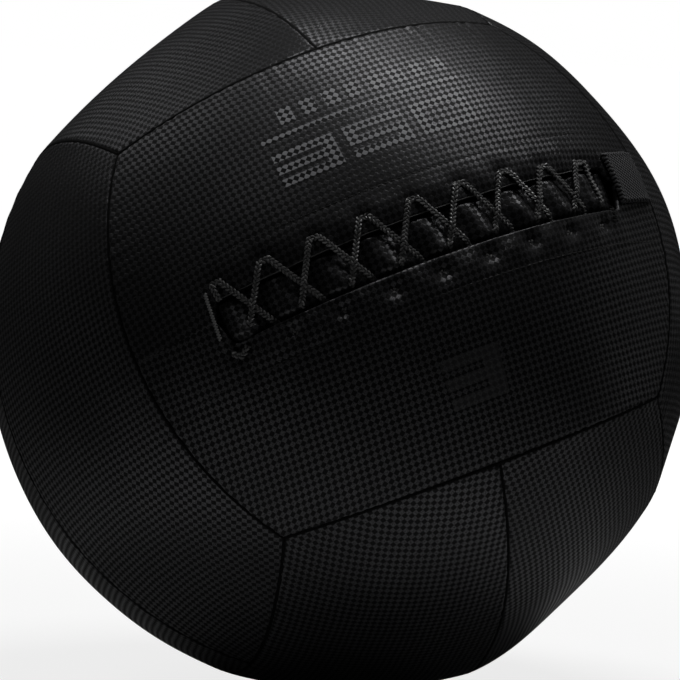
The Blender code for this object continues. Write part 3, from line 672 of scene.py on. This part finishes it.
def tongue_depth(along, across):
    """Depth of the tongue: a pillow below each upper hole, flat under both hems."""
    openness = smooth_share(slit_openness(along))
    lower = smooth_share((across + PILLOW_FOOT) / PILLOW_FOOT_REACH)
    upper = smooth_share((PILLOW_TOP - across) / PILLOW_TOP_REACH)
    place = along - LACE_CENTRE - PILLOW_SHIFT + across * PILLOW_LEAN
    pillow = (0.5 + 0.5 * np.cos(math.tau * place / LACE_PITCH)) ** PILLOW_POWER
    crease = FOLD_HEIGHT * ripple((along, across, 0 * along), FOLD_LENGTH, 5)
    tipped = TONGUE_CREST + TONGUE_TIP * np.clip((across + TIP_FOOT) / TIP_REACH, 0, 1)
    crest = TONGUE_VALLEY - (TONGUE_VALLEY - tipped) * pillow + crease
    crest = crest + END_BULGE * (across / 0.01 - 0.2) * bell(along - END_BULGE_PLACE, END_BULGE_REACH)
    return TONGUE_DIP - openness * lower * upper * (TONGUE_DIP - crest)


def tongue_mesh():
    """The tongue under the slit."""
    columns = np.arange(TONGUE_LEFT, TONGUE_RIGHT + 0.0001, FRONT_STEP)
    edges = np.arange(0.0145, TONGUE_HALF_WIDTH + 0.0001, 0.0028)
    rows = np.concatenate([-edges[::-1], np.arange(-0.0135, 0.0136, 0.0009), edges])
    along, across = np.meshgrid(columns, rows, indexing="ij")
    depth = tongue_depth(along, across)
    return front_sheet(along, across, depth, depth + TONGUE_THICKNESS, (along, across))


def facing_mesh(upper):
    """Facing tape behind one edge of the slit, held by the stitch row."""
    columns = np.arange(SLIT_LEFT - FACING_END, SLIT_RIGHT + FACING_END + 0.0001, 0.002)
    start = slit_edge(columns, upper) + FACING_SETBACK
    reach = start[:, None] + (FACING_WIDTH - start[:, None]) * np.linspace(0, 1, 18)[None, :]
    along = np.broadcast_to(columns[:, None], reach.shape)
    across = reach if upper else -reach
    depth = front_depth(along, across) + CLOTH_THICKNESS + FACING_GAP
    return front_sheet(along, across, depth, depth + FACING_THICKNESS, (along, reach))


def run_along(path):
    """Distance along a path at each of its places."""
    return np.concatenate([[0], np.cumsum(np.linalg.norm(np.diff(path, axis=0), axis=1))])


def curve_through(points, step):
    """Even places along a smooth curve through the given ones."""
    before = np.vstack([2 * points[0] - points[1], points, 2 * points[-1] - points[-2]])
    share = np.linspace(0, 1, 12, endpoint=False)[:, None]
    pieces = []
    for index in range(len(points) - 1):
        p0, p1, p2, p3 = before[index:index + 4]
        bend = 2 * p0 - 5 * p1 + 4 * p2 - p3
        twist = 3 * p1 - p0 - 3 * p2 + p3
        pieces.append(0.5 * (2 * p1 + (p2 - p0) * share + bend * share ** 2 + twist * share ** 3))
    dense = np.vstack(pieces + [points[-1:]])
    run = run_along(dense)
    even = np.linspace(0, run[-1], max(3, round(run[-1] / step)) + 1)
    return np.stack([np.interp(even, run, dense[:, k]) for k in range(3)], axis=-1)


def strand(start, stop):
    """Places of one strand between an upper and a lower hole."""
    upper, lower = (start, stop) if start[1] > 0 else (stop, start)

    def along_at(level):
        """Where the strand crosses a level."""
        return upper[0] + (upper[1] - level) / (upper[1] - lower[1]) * (lower[0] - upper[0])

    across = STRAND_ROWS[STRAND_ROWS < upper[1] - HOLE_CLEARANCE]
    along = along_at(across)
    at_hem = np.array([along_at(STRAND_HEM)]), np.array([SLIT_EDGE[0] + 0.0006])
    edge = front_depth(*at_hem)[0] - LACE_LIFT
    taut = edge + (TAUT_DEPTH - edge) * np.clip((STRAND_HEM - across) / TAUT_RUN, 0, 1)
    hem = front_depth(along, np.maximum(across, SLIT_EDGE[0] + 0.0003)) - LACE_LIFT
    depth = np.where(across >= STRAND_HEM, hem, taut)
    cross = bell(across - CROSSING, CROSSING_REACH)
    on_top = upper[0] - lower[0] > LAST_BITE
    depth = depth - cross * CROSSING_RISE if on_top else depth + cross * CROSSING_FALL
    rests = np.maximum(tongue_depth(along, across) - LACE_LIFT, depth - TAUT_LIFT)
    depth = np.where(across < STRAND_HEM, np.minimum(depth, rests), depth)
    places = list(zip(along, across, depth))
    places += [(along_at(level), level, deep) for level, deep in STRAND_FEET]
    return places if start is upper else places[::-1]


def bite_places(enter, leave, row, first):
    """Places of the lace through the two holes of one bite."""
    surface = front_depth(np.array([enter, leave]), np.array([row, row]))
    near = surface + UNDER_HEM - BITE_RISE
    far = surface - LACE_LIFT * BITE_LIFT[first]
    bow = BITE_BOW[first]
    if row > 0:
        near = surface - LACE_LIFT * 0.6
        far = surface + 0.0001
        bow = 0
    turn = math.copysign(BITE_TURN, leave - enter)
    return [
        (enter, row, near[0]),
        (enter, row, (near[0] + far[0]) / 2),
        (enter + turn, row, far[0]),
        ((enter + leave) / 2, row - bow, (far[0] + far[1]) / 2),
        (leave - turn, row, far[1]),
        (leave, row, (near[1] + far[1]) / 2),
        (leave, row, near[1]),
    ]


def lace_route():
    """Centre line of the whole lace in the ball's axes."""
    order = bites()
    start, _, row = order[0]
    places = [(start - LACE_TAIL / part, row, UNDER_HEM) for part in (1, 2)]
    for index, (enter, leave, row) in enumerate(order):
        if index:
            places += strand(left, (enter, row))
        places += bite_places(enter, leave, row, index == 0)
        left = leave, row
    for share in (0.35, 0.7, 1.0):
        across = row - LACE_TAIL * share
        depth = front_depth(np.array([leave]), np.array([max(across, TAIL_HEM)]))[0] - LACE_LIFT
        places.append((leave + TAIL_DRIFT * share, across, depth))
    along, across, depth = np.array(places).T
    return curve_through(front_place(along, across, depth), LACE_STEP)


def frames_along(path):
    """Side and outward directions at every place of a path."""
    ahead = np.gradient(path, axis=0)
    ahead /= np.linalg.norm(ahead, axis=1)[:, None]
    outward = np.empty_like(path)
    kept = path[0] / np.linalg.norm(path[0])
    for index, direction in enumerate(ahead):
        radial = path[index] / np.linalg.norm(path[index])
        guess = radial - direction * (radial @ direction)
        strength = np.linalg.norm(guess)
        old = kept - direction * (kept @ direction)
        old /= max(np.linalg.norm(old), 1e-9)
        mixed = old * 0.6 + guess * 0.9 * strength
        mixed -= direction * (mixed @ direction)
        kept = mixed / np.linalg.norm(mixed)
        outward[index] = kept
    return np.cross(ahead, outward), outward


def tube_parts(path, radius, sides, turns):
    """Points, faces and cloth places of a round tube with rounded ends."""
    side, outward = frames_along(path)
    count = len(path)
    ends = np.minimum(np.arange(count), np.arange(count)[::-1])
    taper = np.sqrt(1 - np.clip(1 - (ends + 0.25) / 1.5, 0, 1) ** 2)
    angle = np.arange(sides) * math.tau / sides
    cosine, sine = (turn(angle)[None, :, None] for turn in (np.cos, np.sin))
    ring = cosine * side[:, None, :] + sine * outward[:, None, :]
    points = path[:, None, :] + ring * radius * taper[:, None, None]
    index = np.arange(count * sides).reshape(count, sides)
    turned = np.roll(index, -1, axis=1)
    faces = np.stack([index[:-1], turned[:-1], turned[1:], index[1:]], axis=-1).reshape(-1, 4).tolist()
    faces = [face[::-1] for face in faces + [index[0][::-1].tolist(), index[-1].tolist()]]
    along = np.repeat(turns * WEAVE_REPEAT, sides)
    return to_world(points.reshape(-1, 3)), faces, np.stack([along, 0 * along], axis=-1)


def tubes_mesh(paths, radius, sides=6, turns=None):
    """One mesh of several tubes, with any turns along them."""
    turns = turns or [np.empty(0)] * len(paths)
    return joined_mesh([tube_parts(path, radius, sides, turn) for path, turn in zip(paths, turns)])


def plait_paths(path):
    """Three plies that plait round a path, and their turns along it."""
    side, outward = frames_along(path)
    turns = [run_along(path) / PLAIT_PITCH + ply / 3 for ply in range(3)]
    plies = []
    for turn in turns:
        swing = PLAIT_SWING * np.sin(math.tau * turn)[:, None]
        rise = PLAIT_RISE * np.sin(2 * math.tau * turn)[:, None]
        plies.append(path + side * swing + outward * rise)
    return plies, turns


def stitch_paths(row, above):
    """Short stitches one after another along a row of the front cloth."""
    share = np.linspace(0, 1, 7)
    sunk = -STITCH_DIVE * (2 * share - 1) ** 4
    paths = []
    place = 0
    while place + STITCH_LENGTH < 2 * ROW_END:
        along = place + STITCH_LENGTH * share - ROW_END
        paths.append(on_cover(along, np.full_like(along, row), above + sunk))
        place += STITCH_LENGTH + STITCH_SPACE
    return paths


def zigzag_path(start, stop, half_width, pitch, above):
    """One close zigzag of thread between two places on the cloth."""
    way = np.array(stop) - np.array(start)
    run = np.linalg.norm(way)
    ahead = way / run
    aside = np.array([-ahead[1], ahead[0]])
    steps = np.arange(int(run / pitch) * 4 + 1) / 4
    swing = np.interp(steps % 1, [0, 0.25, 0.75, 1], [0, 1, -1, 0])
    places = start + np.outer(steps * pitch, ahead) + np.outer(swing * half_width, aside)
    hump = above + 0.0003 * (1 - swing ** 2)
    return curve_through(on_cover(places[:, 0], places[:, 1], hump), 0.00022)


def tab_bed(along, across):
    """Smooth depth of the cloth that the tab lies on."""
    depth = front_depth(along, across)
    x = (along - TAB_LEFT) / (TAB_RIGHT - TAB_LEFT)
    y = (across - TAB_CENTRE) / TAB_WIDTH
    terms = np.stack([np.ones_like(x), x, y, x * x, x * y, y * y], axis=-1).reshape(-1, 6)
    fitted = np.linalg.lstsq(terms, depth.ravel(), rcond=None)[0]
    smooth = (terms @ fitted).reshape(depth.shape)
    return smooth - max(0.0, float(np.quantile(smooth - depth, 0.98)))


def tab_mesh():
    """Webbing tab: a flat strap with a thick rolled edge towards the lacing."""
    columns = np.concatenate([np.arange(0, 0.006, 0.0004), np.arange(0.006, 0.0301, 0.0012)]) + TAB_LEFT
    rows = TAB_CENTRE + np.linspace(-TAB_WIDTH / 2, TAB_WIDTH / 2, 60)
    along, across = np.meshgrid(columns, rows, indexing="ij")
    inside = along - TAB_LEFT
    from_roll = inside - TAB_ROLL / 2
    yarn = ROLL_YARN * np.sin(math.tau * (across + inside * 0.8) / ROLL_YARN_PITCH)
    roll = ROLL_RISE * bell(from_roll, ROLL_REACH) + yarn * bell(from_roll, ROLL_YARN_REACH)
    start = np.clip(inside / TAB_EDGE_REACH, 0, 1)
    rounding = TAB_EDGE * (1 - np.sqrt(1 - (1 - start) ** 2))
    border = np.minimum(rows - rows[0], rows[-1] - rows)
    selvedge = SELVEDGE * np.exp(-border / SELVEDGE_REACH)
    selvedge = selvedge - EDGE_CORD * bell(border - EDGE_CORD_PLACE, EDGE_CORD_REACH)
    lift = TAB_GAP + TAB_THICKNESS + roll - rounding - selvedge[None, :]
    settle = TAB_SETTLE * smooth_share((inside - TAB_SETTLE_PLACE) / TAB_SETTLE_REACH)
    bed = tab_bed(along, across)
    bottom = bed - TAB_GAP - rounding * 0.2 + settle * 0.2
    return front_sheet(along, across, bed - lift + settle, bottom, (inside, across))


# Block numerals: the cells filled in a row, and each numeral's rows from the bottom.
ROW_RUNS = {"full": ((0, 3),), "left": ((0, 1),), "right": ((2, 3),), "sides": ((0, 1), (2, 3))}
GLYPHS = {
    "3": ("full", "right", "full", "right", "full"),
    "5": ("full", "right", "full", "left", "full"),
    "0": ("full", "sides", "sides", "sides", "full"),
}


def glyph_blocks(glyph, left, bottom, width, height, bar, upright):
    """Rectangles of one block numeral: left, right, bottom, top."""
    xs = np.cumsum([left, upright, width - 2 * upright, upright])
    gap = (height - 3 * bar) / 2
    ys = np.cumsum([bottom, bar, gap, bar, gap, bar])
    blocks = []
    for row, runs in enumerate(GLYPHS[glyph]):
        blocks += [(xs[first], xs[last], ys[row], ys[row + 1]) for first, last in ROW_RUNS[runs]]
    return blocks


def print_mesh(blocks):
    """Thin print on the cloth, made of blocks that follow it."""
    parts = []
    for left, right, bottom, top in blocks:
        columns = np.linspace(left, right, max(2, round((right - left) / PRINT_STEP) + 1))
        rows = np.linspace(bottom, top, max(2, round((top - bottom) / PRINT_STEP) + 1))
        along, across = np.meshgrid(columns, rows, indexing="ij")
        sheets = [to_world(on_cover(along, across, above)) for above in (PRINT_RISE, -PRINT_DEPTH)]
        outwards, sideways, upwards = front_direction(along, across)
        owner = FRONT[int(across.mean() < 0)]
        parts.append(shell_parts(*sheets, cloth_places(owner, outwards, sideways, np.abs(upwards))))
    return joined_mesh(parts)


class Nodes:
    """Short calls for the nodes of a material or of the world."""

    def __init__(self, owner):
        self.owner = owner
        owner.use_nodes = True
        self.tree = owner.node_tree

    def fill(self, node, inputs):
        """Links or plain values into a node's inputs."""
        for key, value in dict(inputs).items():
            if isinstance(value, bpy.types.NodeSocket):
                self.tree.links.new(value, node.inputs[key])
            else:
                node.inputs[key].default_value = value

    def put(self, kind, inputs=(), **settings):
        """Outputs of a new node with these settings and inputs."""
        node = self.tree.nodes.new(kind)
        for key, value in settings.items():
            setattr(node, key, value)
        self.fill(node, inputs)
        return node.outputs

    def math(self, operation, first, second=0.0):
        return self.put("ShaderNodeMath", {0: first, 1: second}, operation=operation)[0]

    def plus(self, first, second):
        return self.math("ADD", first, second)

    def times(self, first, second):
        return self.math("MULTIPLY", first, second)

    def step(self, value, low, high, to_low=0.0, to_high=1.0):
        """A smooth step from one level to another."""
        given = enumerate((value, low, high, to_low, to_high))
        return self.put("ShaderNodeMapRange", given, interpolation_type="SMOOTHSTEP")[0]

    def place(self):
        """Places in the object's own axes."""
        return self.put("ShaderNodeTexCoord")["Object"]

    def noise(self, scale, detail=3.0, roughness=0.55):
        """Fine unevenness in space."""
        given = {"Vector": self.place(), "Scale": scale, "Detail": detail, "Roughness": roughness}
        return self.put("ShaderNodeTexNoise", given)["Fac"]

    def split(self, vector):
        return self.put("ShaderNodeSeparateXYZ", {0: vector})[:]

    def weave(self):
        """Places along and across the cloth, in repeats of its weave."""
        return self.split(self.put("ShaderNodeUVMap", uv_map="weave")[0])[:2]

    def wave(self, value, turns, shift=0.0):
        """A cosine of so many turns for each unit."""
        return self.math("COSINE", self.plus(self.times(value, math.tau * turns), shift))

    def mix(self, share, first, second, data_type="RGBA", **settings):
        """A blend of two colours or numbers."""
        given = {"Factor": share, "A": first, "B": second}
        return self.put("ShaderNodeMix", given, data_type=data_type, **settings)["Result"]

    def bump(self, height, distance):
        given = {"Strength": 1.0, "Distance": distance, "Height": height}
        return self.put("ShaderNodeBump", given)["Normal"]

    def finish(self, color, roughness, normal, specular=0.5, metallic=0.0):
        given = {"Base Color": color, "Roughness": roughness, "Normal": normal}
        given.update({"Specular IOR Level": specular, "Metallic": metallic})
        self.fill(self.tree.nodes["Principled BSDF"], given)
        return self.owner


def new_material(name):
    """Nodes of a new material."""
    return Nodes(bpy.data.materials.new(name))


def grey(level, blue=1.0):
    """A nearly grey colour."""
    return (level, level, level * blue, 1.0)


def coated_cloth(name, light, low_tone_and_shade, gloss=0.6, specular=0.2, low_yarn=0.03, low_roughness=0.62):
    """Coated cloth of a square weave on the bias: its raised cells alone are glossy, and its low cells
    are painted dark as the shade in the weave's pits.
    """
    nodes = new_material(name)
    along, across = nodes.weave()
    drift = nodes.times(nodes.math("SUBTRACT", nodes.noise(DRIFT_SCALE, 2.0), 0.5), DRIFT)
    along = nodes.plus(along, drift)
    across = nodes.math("SUBTRACT", across, drift)
    cell = nodes.times(nodes.plus(nodes.wave(along, 1), nodes.wave(across, 1)), 0.5)
    raised = nodes.step(cell, *CELL_EDGE)
    grain = nodes.noise(GRAIN_SCALE, 2.0)
    rising = nodes.wave(nodes.plus(along, across), YARNS)
    falling = nodes.wave(nodes.math("SUBTRACT", along, across), YARNS)
    yarn = nodes.mix(raised, nodes.times(rising, low_yarn), nodes.times(falling, RAISED_YARN), "FLOAT")
    tint = nodes.step(nodes.noise(PATCH_SCALE, 4.0), 0.25, 0.75, *PATCH_TINT)
    # Painted shade: the low cells take a far darker colour than the raised ones, standing in for the
    # shade in the weave's pits.
    color = nodes.mix(raised, grey(low_tone_and_shade, 1.06), grey(light, 1.05))
    color = nodes.mix(1.0, color, tint, blend_type="MULTIPLY")
    rough = nodes.mix(raised, low_roughness, RAISED_ROUGHNESS, "FLOAT")
    rough = nodes.plus(rough, nodes.step(grain, 0.2, 0.8, -0.05, 0.05))
    dome = nodes.times(nodes.step(cell, *DOME_EDGE), DOME_SHARE)
    height = nodes.plus(nodes.plus(dome, yarn), nodes.times(grain, 0.05))
    metallic = nodes.times(raised, gloss) if gloss else 0.0
    return nodes.finish(color, rough, nodes.bump(height, WEAVE_RELIEF), specular, metallic)


def fibre_finish(name, level, roughness, scale=4200.0, relief=0.00003,
                 blue=1.0, spread=0.35, specular=0.5):
    """Thread or cord of fine fibres."""
    nodes = new_material(name)
    fine = nodes.noise(scale, 4.0, 0.65)
    shades = [grey(level * (1 + sign * spread), blue) for sign in (-1, 1)]
    color = nodes.mix(nodes.step(fine, 0.25, 0.75), *shades)
    rough = nodes.step(fine, 0.2, 0.8, roughness - 0.08, roughness + 0.08)
    return nodes.finish(color, rough, nodes.bump(fine, relief), specular)


def plait_with_painted_shade(name, level, roughness):
    """Plaited yarn, with painted shade where a ply dips under its neighbours."""
    nodes = new_material(name)
    rise = nodes.wave(nodes.weave()[0], 2, -math.pi / 2)
    fine = nodes.noise(2600.0, 4.0, 0.65)
    share = nodes.step(nodes.plus(rise, nodes.times(fine, 0.5)), -0.35, 0.85)
    # Painted shade: the ply's colour drops to 6% where it dips under its neighbours.
    color = nodes.mix(share, grey(level * 0.06), grey(level))
    rough = nodes.step(fine, 0.2, 0.8, roughness - 0.06, roughness + 0.06)
    return nodes.finish(color, rough, nodes.bump(fine, 0.00006))


def webbing_with_painted_shade(name):
    """Close twill webbing, its colour painted dark in the grooves between its ribs as shade."""
    nodes = new_material(name)
    along, across = nodes.weave()
    slant = nodes.times(along, TWILL_SLANT)
    rib = nodes.wave(nodes.plus(slant, across), TWILL_RIB)
    cross = nodes.wave(nodes.math("SUBTRACT", across, slant), TWILL_CROSS)
    height = nodes.plus(nodes.times(rib, 0.6), nodes.times(cross, 0.4))
    share = nodes.step(height, -0.35, 0.35)
    fine = nodes.noise(3800.0, 3.0)
    # Painted shade: the colour follows the twill's height, near black in its grooves and lighter on its
    # ribs.
    color = nodes.mix(share, grey(0.001), grey(0.115, 1.04))
    rough = nodes.step(fine, 0.2, 0.8, 0.62, 0.82)
    height = nodes.plus(share, nodes.times(fine, 0.3))
    return nodes.finish(color, rough, nodes.bump(height, 0.00045), 0.25)


def plain_weave(name, level, blue, threads, relief, roughness=0.85):
    """Plain woven cloth placed by its position in space."""
    nodes = new_material(name)
    parts = nodes.split(nodes.place())
    woven = nodes.times(nodes.wave(parts[0], threads), nodes.wave(parts[2], threads))
    fine = nodes.noise(1500.0, 4.0, 0.7)
    loose = nodes.noise(90.0, 4.0, 0.6)
    share = nodes.step(nodes.plus(fine, nodes.times(loose, 0.6)), 0.45, 1.1)
    color = nodes.mix(share, grey(level * 0.65, blue), grey(level * 1.3, blue))
    return nodes.finish(color, roughness, nodes.bump(nodes.plus(woven, nodes.times(fine, 2.0)), relief))


def fibre_mass(name, level, blue, scale, relief):
    """Matted loose fibre or grit."""
    nodes = new_material(name)
    cells = nodes.put("ShaderNodeTexVoronoi", {"Vector": nodes.place(), "Scale": scale})["Distance"]
    fine = nodes.noise(scale * 3, 5.0, 0.7)
    color = nodes.mix(nodes.step(fine, 0.25, 0.75), grey(level * 0.6, blue), grey(level * 1.35, blue))
    return nodes.finish(color, 0.9, nodes.bump(nodes.plus(cells, fine), relief))


def floor_finish():
    """Pale floor, white to the camera but for the ball's shadow; for other rays its colour holds a
    painted pool of light in front of the ball.
    """
    nodes = new_material("pale_floor")
    nodes.tree.nodes.remove(nodes.tree.nodes["Principled BSDF"])
    place = nodes.place()
    ends = {0: place, 1: FLOOR_PAINTED_POOL_PLACE}
    shifted = nodes.put("ShaderNodeVectorMath", ends, operation="DISTANCE")["Value"]
    # Painted light: the floor's colour for other rays is a pale pool in front of the ball, fading
    # further out.
    pale = nodes.step(shifted, *FLOOR_PAINTED_POOL_REACH, *FLOOR_PAINTED_POOL)
    matt = nodes.put("ShaderNodeBsdfDiffuse", {"Color": pale})
    seen = nodes.put("ShaderNodeBsdfDiffuse", {"Color": grey(FLOOR_SEEN)})
    reach = nodes.put("ShaderNodeVectorMath", {0: place}, operation="LENGTH")["Value"]
    strength = nodes.step(reach, *FLOOR_GLOW_REACH, *FLOOR_GLOW)
    glow = nodes.put("ShaderNodeEmission", {"Strength": strength})
    both = nodes.put("ShaderNodeAddShader", {0: seen[0], 1: glow[0]})
    camera_ray = nodes.put("ShaderNodeLightPath")["Is Camera Ray"]
    mixed = nodes.put("ShaderNodeMixShader", {0: camera_ray, 1: matt[0], 2: both[0]})
    nodes.fill(nodes.tree.nodes["Material Output"], {"Surface": mixed[0]})
    return nodes.owner


def make_floor():
    """A wide round floor just under the ball."""
    angle = np.arange(FLOOR_SIDES) * math.tau / FLOOR_SIDES
    ring = [np.cos(angle) * FLOOR_RADIUS, np.sin(angle) * FLOOR_RADIUS, 0 * angle - FLOOR_DROP]
    mesh = bpy.data.meshes.new("floor")
    mesh.from_pydata(np.stack(ring, axis=-1).tolist(), [], [list(range(FLOOR_SIDES))])
    mesh.materials.append(floor_finish())
    place_object("floor", mesh)


def make_world():
    """A dim surround for the object, white to the camera."""
    world = bpy.data.worlds.new("surround")
    bpy.context.scene.world = world
    nodes = Nodes(world)
    camera_ray = nodes.put("ShaderNodeLightPath")["Is Camera Ray"]
    level = nodes.put("ShaderNodeMapRange", {"Value": camera_ray, "To Min": SURROUND, "To Max": 1.0})[0]
    nodes.fill(nodes.tree.nodes["Background"], {"Strength": level, "Color": grey(1.0)})


CENTRE = Vector((0, 0, REST_HEIGHT))


def make_camera():
    """The photograph's view of the ball."""
    data = bpy.data.cameras.new("camera")
    camera = place_object("camera", data)
    columns = [STANCE @ axis for axis in (VIEW_RIGHT, VIEW_UP, VIEW_DIRECTION)]
    turn = Matrix(columns).transposed().to_4x4()
    camera.matrix_world = Matrix.Translation(CENTRE + columns[2] * VIEW_DISTANCE) @ turn
    data.sensor_width = SENSOR_WIDTH
    data.lens = LENS
    data.shift_x, data.shift_y = SHIFT
    data.clip_end = 30
    bpy.context.scene.camera = camera


def make_lamp(name, seen_from, distance, width, height, power):
    """A soft rectangular lamp that faces the ball."""
    data = bpy.data.lights.new(name, "AREA")
    data.shape = "RECTANGLE"
    data.size = width
    data.size_y = height
    data.energy = power
    lamp = place_object(name, data)
    right, up, towards = seen_from
    seen = VIEW_RIGHT * right + VIEW_UP * up + VIEW_DIRECTION * towards
    direction = (STANCE @ seen).normalized()
    lamp.location = CENTRE + direction * distance
    lamp.rotation_mode = "QUATERNION"
    lamp.rotation_quaternion = direction.to_track_quat("Z", "Y")
    lamp.visible_camera = False


make_camera()
for name, settings in LAMPS.items():
    make_lamp(name, *settings)
make_world()
make_floor()

# The cloth's low cells are painted dark as the shade in the weave's pits.
CLOTH = coated_cloth("coated_cloth", 0.08, 0.005)
# The lace's plies carry painted shade where they pass under one another.
CORD = plait_with_painted_shade("plaited_cord", 0.17, 0.32)
THREAD = fibre_finish("sewing_thread", 0.3, 0.38)
# Partly painted highlight: the hem thread is paler than the cloth so that it also stands in for the
# thin highlight along the hem's fold.
HEM_HIGHLIGHT_THREAD = fibre_finish("hem_highlight_thread", 0.15, 0.38)
DARK_THREAD = fibre_finish("dark_sewing_thread", 0.02, 0.42)
TAPE = plain_weave("facing_tape", 0.022, 1.02, 900.0, 0.0001)
# Painted shade: a near-black, matte, barely reflecting cord for the shadow in the seam grooves.
SEAM_SHADE_CORD = fibre_finish("seam_shade_cord", 0.004, 0.8, 2600.0, 0.00012, specular=0.1)
PRINT = coated_cloth("printed_cloth", 0.36, 0.004, 0.0, 0.16, 0.02, 0.6)
DIM_PRINT = coated_cloth("dim_printed_cloth", 0.046, 0.013, 0.0, 0.5)

for name in PANELS:
    panel = add("cover_" + name, panel_mesh(name), CLOTH, name)

tongue = add("tongue_cloth", tongue_mesh(), CLOTH, "tongue")
for side in ("upper", "lower"):
    facing = facing_mesh(side == "upper")
    tape = add(side + "_facing_tape", facing, TAPE, side + "_facing")

route = lace_route()
plies, ply_turns = plait_paths(route)
add("plaited_lace", tubes_mesh(plies, PLY_RADIUS, turns=ply_turns), CORD, "lace")
add("webbing_tab_strap", tab_mesh(), webbing_with_painted_shade("webbing"), "webbing_tab")

# Painted shade laid in the seam grooves.
add("seam_cords", tubes_mesh(seam_shade_paths(), SEAM_SHADE_CORD_RADIUS, 8), SEAM_SHADE_CORD)
rows = stitch_paths(STITCH_ROW[0], 0.0) + stitch_paths(-STITCH_ROW[1], 0.0001)
add("facing_stitches", tubes_mesh(rows, 0.0003), DARK_THREAD)
add("slit_end_tack", tubes_mesh([zigzag_path(*END_TACK)], 0.00036), THREAD)
add("tab_side_tack", tubes_mesh([zigzag_path(*SIDE_TACK)], 0.0003), DARK_THREAD)
# A thread along each slit edge; its pale colour also paints the highlight along the hem's fold.
along = np.arange(SLIT_LEFT + 0.0045, SLIT_RIGHT - 0.01, 0.0008)
edges = ((SLIT_EDGE[0] + 0.0002, 0.00004), (-SLIT_EDGE[1] - 0.0004, -0.00034))
hems = [on_cover(along, np.full_like(along, across), above) for across, above in edges]
add("hem_threads", tubes_mesh(hems, 0.00026), HEM_HIGHLIGHT_THREAD)

add("number_print", print_mesh(glyph_blocks("3", *NUMERAL)), DIM_PRINT)
blocks = [RULE]
for order, figure in enumerate("350"):
    blocks += glyph_blocks(figure, DIGITS[0] + order * DIGITS_PITCH, *DIGITS[1:])
blocks += [(left, left + BAR_WIDTH, *BARS_HEIGHTS) for left in BARS_LEFT]
add("panel_print", print_mesh(blocks), PRINT)

STUFFING = fibre_mass("packed_fibre", 0.54, 0.94, 160.0, 0.0012)
INSIDE = {
    "felt_liner": fibre_mass("needled_felt", 0.31, 0.94, 420.0, 0.0004),
    "stuffing_back": STUFFING,
    "stuffing_front": STUFFING,
    "core_bag": plain_weave("bag_cloth", 0.4, 0.66, 700.0, 0.00015),
    "core_bag_tie": fibre_finish("tie_cord", 0.68, 0.6, 900.0, 0.0002, 0.97, 0.15),
    "core_weight": fibre_mass("dry_grit", 0.13, 0.96, 700.0, 0.0006),
}
for name, finish in INSIDE.items():
    node = bpy.data.objects[name]
    for place in node.material_slots:
        place.material = finish

bpy.context.scene.view_settings.view_transform = "Standard"
